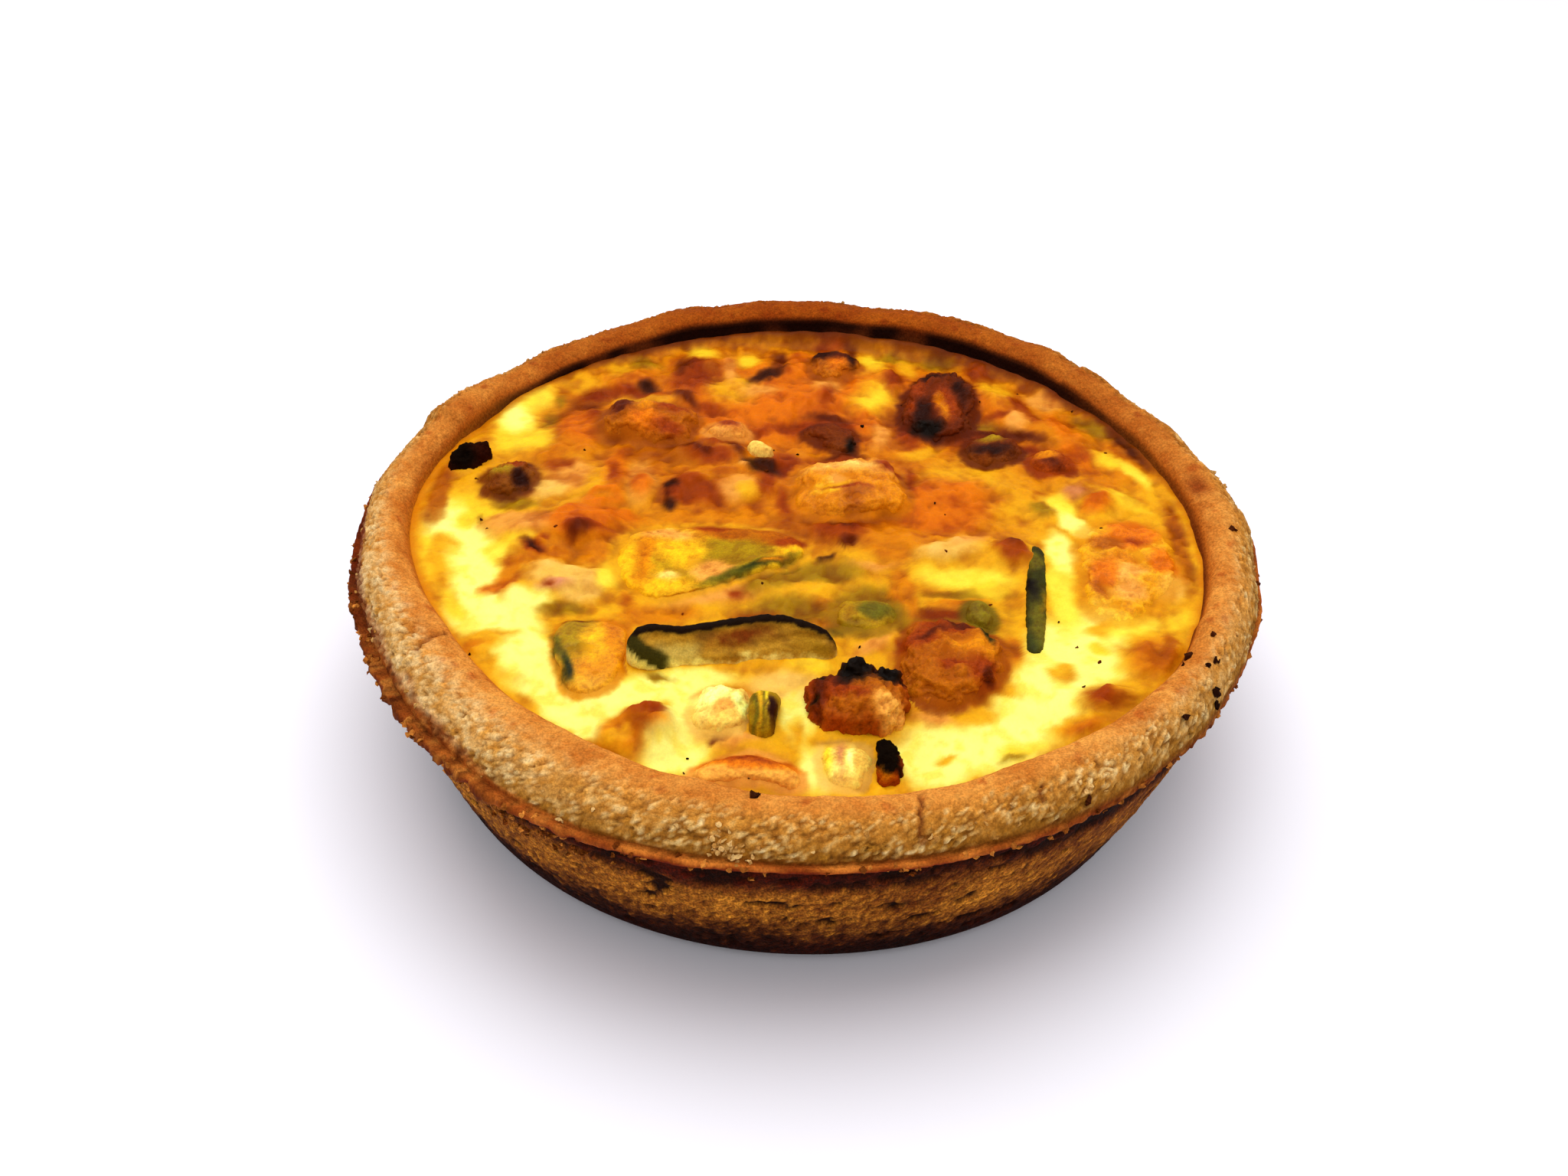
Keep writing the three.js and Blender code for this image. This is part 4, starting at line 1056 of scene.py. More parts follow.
# %% How each topping looks
# Finish, own tone, how much of it covers the bake, height and size of its relief, how far its foot spreads,
# and the share of its height that stays out of the custard
TOPPINGS = {
    "courgette_slice_front": ("courgette", "olive", 1.0, 0.06, 1.6, 0.0, 1.0),
    "courgette_slice_back": ("courgette", "gold", 0.8, 0.2, 2.4, 1.4, 0.4),
    "pepper_piece_left": ("pepper_green", "amber", 0.75, 0.2, 2.0, 0.8, 0.5),
    "pepper_strip_front": ("roasted", "peach", 0.9, 0.1, 1.2, 0.9, 0.6),
    "bean_right": ("green_vegetable", "dark_green", 0.9, 0.14, 1.0, 0.3, 0.5),
    "leek_piece_front": ("green_vegetable", "olive", 1.0, 0.14, 0.8, 0.2, 1.0),
    "burnt_tip_left": ("burnt", "umber", 1.0, 0.6, 1.1, 0.2, 1.0),
    "burnt_tip_front": ("burnt", "rust", 1.0, 0.5, 0.8, 0.2, 1.1),
    "roasted_chunk_right": ("roasted", "toast", 0.98, 0.8, 2.0, 1.2, 0.65),
    "roasted_chunk_back_left": ("roasted", "toast", 0.9, 0.7, 2.4, 1.6, 0.6),
    "roasted_chunk_back": ("roasted", "toast", 0.8, 0.5, 1.6, 1.0, 0.7),
    "roasted_lump_right": ("roasted", "rust", 0.9, 0.4, 1.6, 1.0, 0.65),
    "fish_piece_front": ("fish", "pale", 0.85, 0.4, 1.6, 1.2, 0.8),
    "fish_piece_right": ("fish", "amber", 0.45, 0.7, 2.8, 2.0, 0.3),
    "potato_chunk_centre": ("pale_flesh", "amber", 0.9, 0.7, 3.0, 1.5, 0.8),
    "onion_piece_front": ("pale_flesh", "pale", 0.8, 0.15, 1.6, 1.3, 0.55),
    "onion_piece_centre": ("pale_flesh", "peach", 0.8, 0.25, 1.6, 0.8, 0.7),
    "onion_bead_centre": ("pale_flesh", "pale", 0.9, 0.12, 1.2, 0.3, 0.8),
    "mushroom_back": ("mushroom", "brown", 0.9, 1.0, 2.2, 1.2, 0.5),
    "mushroom_piece_right": ("mushroom", "brown", 0.8, 0.5, 2.0, 0.9, 0.5),
    "mushroom_piece_left": ("mushroom", "brown", 0.75, 0.7, 1.8, 0.9, 0.6),
    "mushroom_piece_centre": ("mushroom", "brown", 0.8, 0.5, 1.6, 0.8, 0.5),
    "courgette_bit_centre": ("green_vegetable", "olive", 0.8, 0.2, 1.4, 1.4, 0.5),
    "courgette_bit_right": ("green_vegetable", "green", 0.8, 0.2, 1.2, 1.0, 0.6),
    "charred_chunk_front": ("roasted", "rust", 1.0, 0.6, 1.0, 0.4, 1.0),
}

# Patches that only one topping has, laid over it as those of the bake are
OWN_PATCHES = {
    "courgette_slice_back": [
        ("olive", -12, -10, 8, 4, 20), ("pale", -18, -14.6, 1.6, 1), ("gold", -16.4, -9, 3, 4, 10),
        ("amber", -21.4, -10, 1, 6), ("peach", -12, -13, 3, 2), ("peach", -18.7, -5.4, 3.4, 1.4),
        ("toast", -11, -4.6, 4, 1.6), ("rust", -13.3, -3.4, 2.4, 0.9), ("olive", -7.4, -8.4, 3.4, 2.4, 30),
        ("toast", -4.6, -5.2, 3.4, 2), ("green", -9.4, -13.4, 4.4, 0.8, 29),
        ("dark_green", -5.2, -11, 3.6, 0.6, 29), ("amber", -4.4, -10.4, 1.6, 0.4, 29),
        ("rust", -2.3, -6.2, 1.8, 1.2),
    ],
    "pepper_piece_left": [
        ("olive", -28, -26, 2.4, 5), ("gold", -25.6, -27.4, 1.6, 3.4), ("amber", -23.6, -25.4, 1.2, 3.4),
        ("green", -29.8, -29.4, 0.7, 4, 20), ("dark_green", -28.8, -32.2, 0.5, 1.6, 15),
        ("brown", -28.4, -23, 2.4, 0.5, -6),
    ],
    "pepper_strip_front": [("orange", -6.5, -46.6, 6, 1), ("rust", -6.5, -46.1, 3.4, 0.4)],
    "bean_right": [
        ("green", 29.2, -8, 1.2, 2), ("black", 28.2, -13, 0.6, 2.4, 10), ("olive", 29.8, -17, 0.4, 2.6),
        ("green", 29.2, -21, 1.2, 4.6), ("olive", 30, -23, 0.4, 1.6),
    ],
    "leek_piece_front": [
        ("green", -6, -40, 0.3, 4), ("umber", -3.7, -40.8, 0.7, 1.6), ("gold", -5.4, -38, 0.25, 4),
        ("green", -4.8, -38, 0.2, 4), ("yellow", -4.4, -38.6, 0.2, 2.4),
    ],
    "burnt_tip_left": [("black", -47.6, 12.4, 3, 1.2, 20), ("black", -48.6, 9.6, 1.6, 1.4)],
    "burnt_tip_front": [
        ("black", 9.2, -43.8, 1.8, 2.2), ("amber", 8.6, -47.6, 0.7, 0.8), ("umber", 10, -46.8, 0.6, 0.9),
    ],
    "roasted_chunk_right": [
        ("amber", 19.4, -27.4, 2, 1.2, 20), ("rust", 13.6, -26.2, 2.6, 2.4, 20),
        ("rust", 17, -22.6, 3.4, 2), ("brown", 18.4, -22.4, 1.8, 0.9, -20),
        ("dark_green", 21.6, -24, 0.7, 2.4, 10), ("rust", 13, -24.8, 2.4, 1.2, 30),
        ("brown", 15.2, -24.6, 2.4, 0.5, 34), ("toast", 18.2, -30, 3, 2),
        ("toast", 14.6, -28.8, 2.4, 1.6, 24), ("rust", 17, -30.6, 2.2, 0.9, 10),
        ("toast", 13.4, -31, 2, 2.4), ("rust", 20.8, -30.6, 2, 2.2), ("brown", 21.6, -31.2, 0.9, 0.9),
        ("amber", 21.8, -27.4, 1, 1.4),
    ],
    "roasted_chunk_back_left": [
        ("brown", -27.4, 22.4, 2, 2.6), ("amber", -24, 22.8, 1.8, 1.8), ("rust", -20.4, 23, 2.4, 1.8),
        ("orange", -24, 19, 2.6, 1.8), ("rust", -20.4, 18, 2.2, 1.2),
    ],
    "roasted_chunk_back": [
        ("brown", 4, 43.4, 3, 2), ("umber", 1.6, 44, 1.4, 2), ("umber", 6.3, 43, 1, 2),
        ("orange", 4, 41, 1.6, 1.4),
    ],
    "roasted_lump_right": [("amber", 34, 17, 1.4, 1.4), ("brown", 34.3, 14.8, 1.8, 0.8)],
    "courgette_bit_centre": [("green", 8.2, -19.4, 2.4, 1.6, 20)],
    "onion_piece_centre": [("rust", -12.3, 21.6, 2, 1.4)],
    "onion_piece_front": [
        ("yellow", 2.7, -45, 0.5, 2.4), ("pink", 4.2, -44.6, 0.3, 2.4), ("cream", 5.2, -45, 0.4, 2),
    ],
    "potato_chunk_centre": [
        # The pale line at 6, 9.6 along the ridge: the flesh's own colour, partly a painted highlight
        ("peach", 5, 9.4, 6, 1.6), ("pale", 6, 9.6, 4, 0.5, 8), ("gold", 3, 4.6, 2.6, 1.6),
        ("toast", 6.4, 3, 3, 2), ("amber", 10.6, 5, 2, 2.6), ("peach", 3.4, 6.4, 1.6, 0.8),
        ("rust", 5, 12.4, 4.4, 0.7), ("rust", 11, 10.4, 1.8, 1), ("rust", 4.7, 4.4, 3.2, 0.4),
        ("amber", 9.6, 2.4, 3, 1.6),
    ],
    "fish_piece_front": [
        ("peach", -8.6, -34.6, 3.4, 1), ("cream", -10.8, -37.4, 2.4, 1.6),
        ("peach", -9.4, -39.4, 1.6, 0.7, 20), ("cream", -7.4, -38.4, 0.8, 1.4),
    ],
    "fish_piece_right": [
        ("orange", 42.4, -2.4, 3.6, 2, 10), ("rust", 43.6, -2.6, 1.6, 0.8, 10),
        ("toast", 39.8, -3.3, 1.8, 1.4), ("orange", 43.4, 0.2, 3.4, 2.4, -10), ("amber", 41, -6.7, 2, 1.4),
        ("peach", 41.4, -9.6, 2.6, 2), ("orange", 46.4, -6.6, 1.8, 2.4),
        ("orange", 38.6, -9.6, 1.8, 2.8, -20), ("toast", 37.6, -12.6, 1, 1.8, 10),
        ("peach", 41.4, -13.2, 2.4, 1.8),
    ],
    "mushroom_back": [
        ("umber", 17, 27, 2.4, 6, 8), ("rust", 20, 29.4, 2, 4.6), ("amber", 19.4, 28.4, 0.7, 2.6, 8),
        ("rust", 16.4, 33.4, 1.2, 3), ("black", 17, 23.4, 2.2, 1.4), ("umber", 22.6, 33, 1, 3),
        ("umber", 19, 38, 2.4, 1.4), ("rust", 15, 29, 0.9, 2.4),
    ],
    "mushroom_piece_right": [("olive", 26.4, 21, 1.8, 1), ("umber", 26, 18, 3, 1.2)],
    "mushroom_piece_left": [
        ("olive", -42.8, 7.2, 1.8, 1.8), ("umber", -39.8, 5.4, 1.2, 1.8), ("rust", -41.4, 8.4, 1.6, 1),
        ("umber", -41, 10, 1.4, 0.7),
    ],
    "mushroom_piece_centre": [("brown", 0.6, 22.6, 1.6, 1.2), ("black", 5.7, 18.4, 0.8, 1.4)],
    "charred_chunk_front": [
        ("brown", 6.4, -33.8, 6, 1.5), ("brown", 4.4, -35.6, 4.4, 0.6), ("toast", 8, -37, 3.4, 2),
        ("rust", 4.4, -38, 2.4, 1.2), ("toast", 6, -39.6, 4, 1.2), ("peach", 9.4, -39.2, 2.3, 1.9),
        ("brown", 4, -36.4, 1.2, 0.8, 20), ("brown", 1.4, -36.6, 0.9, 3), ("black", 1, -38, 0.5, 0.6),
        ("black", 1.6, -35, 0.5, 0.4), ("black", 5.3, -34.4, 2.1, 1.9, 10),
        ("black", 9.2, -34.2, 1.6, 1.6, -10),
    ],
}

# Tips scorched dark above a height: topping, tone, height where it starts, softness
SCORCHED = {
    "mushroom_back": ("umber", 30.3, 1.4),
    "roasted_chunk_back": ("umber", 28.9, 0.8),
    "burnt_tip_front": ("black", 29.3, 0.5),
}
print(len(TOPPINGS), "toppings")


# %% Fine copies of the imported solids
VOXEL = 0.28


def fine_copy(name):
    """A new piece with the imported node's form in small even faces."""
    made = bpy.data.meshes.new("merged")
    loose = bmesh.new()
    loose.from_mesh(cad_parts[name].data)
    bmesh.ops.remove_doubles(loose, verts=loose.verts, dist=1e-6)
    loose.to_mesh(made)
    loose.free()
    piece = bpy.data.objects.new(name + "_baked", made)
    scene.collection.objects.link(piece)
    remesh = piece.modifiers.new("even", "REMESH")
    remesh.mode = "VOXEL"
    remesh.voxel_size = VOXEL * MM
    soften = piece.modifiers.new("soften", "SMOOTH")
    soften.factor = 0.5
    soften.iterations = 4
    piece.data = bpy.data.meshes.new_from_object(piece.evaluated_get(bpy.context.evaluated_depsgraph_get()))
    piece.modifiers.clear()
    piece.data.polygons.foreach_set("use_smooth", np.ones(len(piece.data.polygons), dtype=bool))
    return piece


toppings = {name: fine_copy(name) for name in TOPPINGS}
print("topping faces:", sum(len(piece.data.polygons) for piece in toppings.values()))

# %% [markdown]
# The front slice of courgette shows its cut side, so its colours follow the depth below its upper edge:
# scorched skin, then dark flesh, then pale flesh with a browned heart, and dark skin again round the left
# end.


# %% The front slice
TONES.update({
    "flesh_dark": (142, 94, 14), "flesh_light": (212, 158, 48), "flesh_stain": (104, 66, 20),
    "heart": (120, 50, 10), "veil": (214, 188, 96), "under_skin": (96, 70, 12),
    "hook": (50, 44, 8), "skin": (24, 10, 3), "egg": (250, 228, 120),
})


def cut_side(points, above):
    """Colours of the front slice from the depth below its upper edge and the height above the custard."""
    along, height = points[:, 0], points[:, 2]
    depth = by_column(points, 2, np.max) - height + 0.22 * rough(points, 1.0, 81)
    grain = rough(points * (0.3, 1, 1), 1.0, 82)
    colour = shade_between("flesh_dark", "flesh_light", 0.5 + 0.8 * grain)
    colour = dyed(colour, "flesh_stain", np.clip(1.2 * rough(points * (0.6, 1, 1), 2.2, 85), 0, 0.7))
    heart = np.exp(-(((along + 8) / 3.2) ** 2) - ((depth - 1.7) / 0.8) ** 2)
    colour = dyed(colour, "heart", np.clip(heart * (0.8 + rough(points, 1.2, 83, 2)), 0, 0.9))
    colour = dyed(colour, "olive", 0.5 * ease((along + 3) / 5) * ease((depth - 0.9) / 0.8))
    colour = dyed(colour, "veil", 0.7 * between(along, -18.4, -13.0, 2.0) * ease((depth - 1.0) / 1.2))
    colour = dyed(colour, "under_skin", 0.8 * (1 - ease((depth - 0.35) / 0.6)))
    slant = along + 21.4 - 1.5 * (31.0 - height) + 0.4 * grain
    colour = dyed(colour, "hook", 0.95 * (1 - ease((slant - 1.9) / 0.9)) * (1 - ease((along + 16.8) / 0.8)))
    colour = dyed(colour, "skin", 1 - ease((depth - 0.38) / 0.25))
    wet_foot = (1 - ease((above - 0.7 + 0.55 * rough(points, 1.6, 84)) / 0.5)) * ease((along + 17.5) / 2)
    wet_corner = (1 - ease((slant + 0.9) / 0.4)) * (1 - ease((height - 30.0) / 0.4))
    return dyed(colour, "egg", 0.9 * np.maximum(wet_foot, wet_corner))


def shape_front_slice(points, above):
    """Bends the slice's left end up and forwards, roughens its upper edge and flattens its cut side."""
    blunt = ease((-14.5 - points[:, 0]) / 5)
    points[:, 2] += 1.5 * blunt * ease(above / 1.5)
    points[:, 1] -= 0.9 * blunt * (1 - ease(above / 3))
    points[:, 2] += 0.22 * rough(points * (1, 0, 0), 1.3, 86) * ease(above / 2)
    standing = ease((above - 1.0) / 3)
    face = by_column(points, 1, lambda across: np.percentile(across, 20))
    points[:, 1] = mixed(points[:, 1], face, 0.3 * standing)
    points[:, 2] += 0.8 * standing


# %% Colour of a topping
DRAPED_FOOT = 0.5  # a topping with a wider foot than this is covered by the custard's skin


def topping_colour(name, points, bake):
    """The topping's own colours over the bake, wherever it is bare."""
    _, own, cover, *_ = TOPPINGS[name]
    wandering = bent(points)
    colour = mixed(bake, tone(own), cover)
    for patch in OWN_PATCHES.get(name, []):
        colour = dyed(colour, patch[0], patch_cover(wandering, patch))
    if name in SCORCHED:
        scorch, start, soft = SCORCHED[name]
        high = ease((points[:, 2] + 0.4 * rough(points, 1.2, 90) - start) / soft + 0.5)
        colour = dyed(colour, scorch, high)
    return colour


# %% Shape and colour of the toppings
SUNK = 1.2  # how far a topping's foot is pushed down into the custard
SUNK_BELOW, SPREAD_BELOW = 1.3, 1.8  # heights above the custard below which a foot is pushed down and spread
NO_CUSTARD = 26.0  # height to measure from where a topping reaches past the custard
# Painted shade in the hollows and painted light on the bumps of a topping's relief: how strongly each works
# on red, green and blue
HOLLOW_SHADE = (0.6, 1.0, 1.4)  # how strongly hollows darken red, green and blue

for number, (name, (finish, _, _, relief, size, foot, kept)) in enumerate(TOPPINGS.items()):
    piece = toppings[name]
    points = points_of(piece)
    outward = normals_of(piece)
    above = points[:, 2] - heights_in(packed_custard, points, NO_CUSTARD)
    shape = rough(points, size, 60 + number, 4)
    wrinkle = 1 - 2 * np.abs(rough(points, size * 0.55, 160 + number))
    points = points + outward * (relief * (shape + 0.25 * wrinkle))[:, None]
    points[:, 2] -= (1 - kept) * np.maximum(above, 0)
    level = outward * (1, 1, 0)
    level = level / np.maximum(np.linalg.norm(level, axis=1, keepdims=True), 0.3)
    low = 1 - ease(above / SPREAD_BELOW)
    points += level * (0.6 * foot * low**2)[:, None]
    points[:, 2] -= SUNK * ease(1 - above / SUNK_BELOW)
    if name == "courgette_slice_front":
        shape_front_slice(points, above)
        colour = cut_side(points, above)
    else:
        bake = toasted(lay_patches(points)[0], points)
        colour = topping_colour(name, points, bake)
        if foot < DRAPED_FOOT:
            uncovered = ease((above - 0.3 * foot + 0.4 * rough(points, 1.5, 91, 2)) / (0.4 + 0.8 * foot))
            colour = mixed(bake, colour, uncovered[:, None])
        # Painted shade in the hollows of the relief and painted light on its bumps
        deep = np.clip(1 + 0.22 * shape + 0.18 * wrinkle, 0.6, 1.25)
        colour = np.clip(colour * deep[:, None] ** HOLLOW_SHADE, 0, 1)
    move_points(piece, points)
    store(piece, "tint", linear(colour))
    piece.data.materials.clear()
    piece.data.materials.append(FINISHES[finish])
    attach(piece, "root")
    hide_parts(name)
print("dressed", len(toppings), "toppings")

# %% [markdown]
# ## The custard's surface
#
# With the toppings in place, the custard can creep up to them. Its skin is smooth where it is pale and
# wrinkled where it browned, so the height of the fine relief follows the darkness of the patches.

# %% The custard's surface
CREEP = 0.35
CREEP_REACH = 0.8
EDGE_CREEP = 0.25
SKIN_PASSES = 30
SKIN_GAP = 0.1
SKIN_UNEVEN = 0.3
LUMP_PASSES = 40

owners = [name for name, piece in toppings.items() for _ in piece.data.vertices]
all_points = np.vstack([points_of(piece) for piece in toppings.values()])
tops = KDTree(len(owners))
for n, (x, y, _) in enumerate(all_points):
    tops.insert((x, y, 0), n)
tops.balance()
foot_of = {name: values[5] for name, values in TOPPINGS.items()}
flat_grid = np.column_stack([grid_x.ravel(), grid_y.ravel(), grid_z.ravel()])
nearest = [tops.find((x, y, 0)) for x, y in flat_grid[:, :2]]
away = np.array([found[2] for found in nearest])
owner_there = np.array([owners[found[1]] for found in nearest])
foot_there = np.array([foot_of[name] for name in owner_there])

bake_colour, bake_rise = lay_patches(flat_grid)
darkness = np.clip(1.05 - bake_colour[:, 1], 0, 1)
edge_distance = (1 - np.hypot(unit_x, unit_y).ravel()) * RIM_INNER_RADIUS
inland = ease(edge_distance / 1.5)
spot = spread(flat_grid)
flat_grid[:, 2] += bake_rise * inland
flat_grid[:, 2] += 0.1 * hills(spot, 6.0, 51)
creases = np.minimum(1, 2.6 * np.abs(rough(spot + 0.8 * rough(spot, 2.0, 58, 2)[:, None], 5.0, 59, 2)))
lumps = 0.8 * rough(spot, 3.0, 52) + 0.15 * rough(spot, 0.9, 54, 2) + 0.7 * (creases - 0.7)
flat_grid[:, 2] += darkness * inland * lumps
flat_grid[:, 2] += 0.03 * rough(spot, 1.2, 53, 2)

# The skin hangs over the sunk toppings like a cloth, a little lower than their tops
corners, draped_faces = [], []
for name, piece in toppings.items():
    if foot_of[name] >= DRAPED_FOOT:
        first = sum(len(block) for block in corners)
        corners.append(points_of(piece))
        draped_faces += [[first + v for v in face.vertices] for face in piece.data.polygons]
draped = BVHTree.FromPolygons(np.vstack(corners).tolist(), draped_faces)
top_there = heights_in(draped, flat_grid, -SKY)
skin = smoothed(np.maximum(flat_grid[:, 2], top_there).reshape(grid_x.shape), SKIN_PASSES).ravel()
skin -= SKIN_GAP + SKIN_UNEVEN * rough(spot, 2.2, 55, 2)
flat_grid[:, 2] = np.maximum(flat_grid[:, 2], mixed(flat_grid[:, 2], skin, inland))

creep = CREEP * np.exp(-((away / (CREEP_REACH + 0.5 * foot_there)) ** 2))
flat_grid[:, 2] += creep * inland * (foot_there < DRAPED_FOOT)
uneven_edge = 1 + 1.6 * rough(spot, 5.0, 64, 2)
flat_grid[:, 2] += EDGE_CREEP * uneven_edge * np.exp(-edge_distance)

# %% Colour of the custard
colour = toasted(bake_colour, flat_grid)
for name, foot in foot_of.items():
    if foot >= DRAPED_FOOT:
        near = np.flatnonzero((owner_there == name) & (away < 1.0 + foot))
        share = 1 - ease((away[near] - 0.25 + 0.3 * rough(spot[near], 1.2, 56, 2)) / (0.5 + 0.5 * foot))
        own_colour = topping_colour(name, flat_grid[near], colour[near])
        colour[near] = mixed(colour[near], own_colour, share[:, None])

# Painted shade in the valleys between the lumps of the skin and painted highlights on their tops
lump = flat_grid[:, 2] - smoothed(flat_grid[:, 2].reshape(grid_x.shape), LUMP_PASSES).ravel()
valley_shade = np.clip(-2.0 * lump - 0.1, 0, 1) * ease(2.2 * darkness - 0.3)
colour = dyed(colour, "brown", 0.65 * valley_shade)
ridge_highlight = np.clip(1.6 * lump - 0.1, 0, 0.6) * ease(2.2 * darkness - 0.3)
colour = np.clip(mixed(colour, colour * (1.12, 1.16, 1.5), ridge_highlight[:, None]), 0, 1)

far_side, left_side, front_side = (
    facing(grid_turn.ravel(), *SIDES["custard " + name]) for name in ("back", "left", "front")
)
# By the wall the custard is baked amber, and at the back a painted shadow of the wall darkens it to brown
baked_width = 1.0 + 1.4 * far_side + 1.2 * left_side + 0.9 * rough(spot, 2.4, 57, 2)
near_wall = ease(1.1 - edge_distance / baked_width)
wall_bake_and_shadow = shade_between("amber", "brown", ease(1.6 * far_side))
colour = mixed(colour, wall_bake_and_shadow, ((0.85 - 0.5 * front_side) * near_wall)[:, None])
print("custard surface from", flat_grid[:, 2].min().round(1), "to", flat_grid[:, 2].max().round(1), "mm")


# %% The custard's mesh
def grid_faces(cells):
    """Four-sided faces of a square grid, upwards."""
    i = np.arange(cells)[:, None] * (cells + 1)
    j = np.arange(cells)[None, :]
    return np.stack([i + j, i + j + 1, i + j + cells + 2, i + j + cells + 1], axis=2).reshape(-1, 4)


def grid_border(cells):
    """Numbers of the border points of a square grid, anticlockwise."""
    side = cells + 1
    bottom = list(range(cells))
    right = [cells + side * k for k in range(cells)]
    top = [side * cells + cells - k for k in range(cells)]
    left = [side * (cells - k) for k in range(cells)]
    return bottom + right + top + left


border = grid_border(CUSTARD_CELLS)
border_turn = grid_turn.ravel()[border]
skirts = []
custard_floor = FLOOR_THICKNESS + CUSTARD_CLEARANCE
for height, inset in (
    (20.0, CUSTARD_CLEARANCE),
    (custard_floor + INNER_CORNER, CUSTARD_CLEARANCE),
    (custard_floor, CUSTARD_CLEARANCE + INNER_CORNER),
):
    radius = inner_wall_radius(border_turn, height) - inset
    around_x = radius * np.cos(np.radians(border_turn)) + FRAME_SHIFT[0]
    around_y = radius * np.sin(np.radians(border_turn)) + FRAME_SHIFT[1]
    skirts.append(np.column_stack([around_x, around_y, np.full(len(border), height)]))
middle_point = np.array([[*FRAME_SHIFT, custard_floor]])
custard_points = np.vstack([flat_grid] + skirts + [middle_point])
faces = grid_faces(CUSTARD_CELLS).tolist()
above_ring = border
for level in range(len(skirts)):
    start = len(flat_grid) + level * len(border)
    below_ring = list(range(start, start + len(border)))
    for n in range(len(border)):
        m = (n + 1) % len(border)
        faces.append((above_ring[n], below_ring[n], below_ring[m], above_ring[m]))
    above_ring = below_ring
last = len(custard_points) - 1
faces += [(above_ring[n], last, above_ring[(n + 1) % len(border)]) for n in range(len(border))]
custard = mesh_object("custard_baked", custard_points, faces)
skirt_colour = np.tile(tone("gold"), (len(custard_points) - len(flat_grid), 1))
store(custard, "tint", linear(np.vstack([colour, skirt_colour])))
custard.data.materials.append(FINISHES["baked_custard"])
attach(custard, "root")
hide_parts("custard")
print("custard:", len(custard.data.polygons), "faces")

# %% [markdown]
# ## Crumbs
#
# Crumbs cling to a shortcrust rim wherever it was handled: brown ones on the ledge at the left, pale ones
# where the lip broke, and a few burnt ones from the oven. A Geometry Nodes tree scatters them: it puts
# points on a copy of the surface where the attribute called chance allows, sets a rough ball of a few
# dozen faces on each, turns and sizes them at random from a fixed seed, and joins them into one mesh.


# %% The tree that scatters crumbs
CRUMB_JAGS = 0.45  # distance between the jags of a crumb


def crumb_tree():
    """The tree, and the identifier of each of its inputs."""
    tree = bpy.data.node_groups.new("scattered crumbs", "GeometryNodeTree")
    sockets = {}
    for name, kind in (
        ("Surface", "NodeSocketGeometry"),
        ("Crumbs per square metre", "NodeSocketFloat"),
        ("Smallest", "NodeSocketFloat"),
        ("Largest", "NodeSocketFloat"),
        ("Seed", "NodeSocketInt"),
        ("Finish", "NodeSocketMaterial"),
    ):
        sockets[name] = tree.interface.new_socket(name, in_out="INPUT", socket_type=kind).identifier
    tree.interface.new_socket("Crumbs", in_out="OUTPUT", socket_type="NodeSocketGeometry")
    given = tree.nodes.new("NodeGroupInput").outputs
    seed = given["Seed"]

    def add(kind, inputs, **settings):
        """The outputs of a new node of this tree."""
        return add_node(tree, kind, inputs, **settings).outputs

    chance = add("GeometryNodeInputNamedAttribute", {"Name": "chance"})
    density = add("ShaderNodeMath", {0: chance["Attribute"], 1: given["Crumbs per square metre"]},
                  operation="MULTIPLY")
    scatter = add("GeometryNodeDistributePointsOnFaces",
                  {"Mesh": given["Surface"], "Density": density["Value"], "Seed": seed})
    ball = add("GeometryNodeMeshUVSphere", {"Segments": 7, "Rings": 5, "Radius": 0.5})
    turned = add("FunctionNodeRandomValue", {"Max": (math.tau,) * 3, "Seed": seed}, data_type="FLOAT_VECTOR")
    sized = add("FunctionNodeRandomValue", {"Min": given["Smallest"], "Max": given["Largest"], "Seed": seed},
                data_type="FLOAT_VECTOR")
    place = add("GeometryNodeInstanceOnPoints",
                {"Points": scatter["Points"], "Instance": ball["Mesh"], "Rotation": turned["Value"],
                 "Scale": sized["Value"]})
    shade = add("FunctionNodeRandomValue", {"Seed": seed}, data_type="FLOAT")
    keep = add("GeometryNodeStoreNamedAttribute",
               {"Geometry": place["Instances"], "Name": "shade", "Value": shade[1]}, domain="INSTANCE")
    joined = add("GeometryNodeRealizeInstances", {"Geometry": keep["Geometry"]})

    jagged = add("ShaderNodeTexNoise", {"Scale": 1 / (CRUMB_JAGS * MM), "Detail": 1})
    centred = add("ShaderNodeVectorMath", {0: jagged["Color"], 1: (0.5, 0.5, 0.5)}, operation="SUBTRACT")
    shift = add("ShaderNodeVectorMath", {0: centred["Vector"], "Scale": given["Largest"]}, operation="SCALE")
    rough_up = add("GeometryNodeSetPosition", {"Geometry": joined["Geometry"], "Offset": shift["Vector"]})
    dress = add("GeometryNodeSetMaterial", {"Geometry": rough_up["Geometry"], "Material": given["Finish"]})
    add("NodeGroupOutput", {"Crumbs": dress["Geometry"]})
    return tree, sockets


CRUMB_TREE, CRUMB_SOCKETS = crumb_tree()
print("inputs of the tree:", list(CRUMB_SOCKETS))


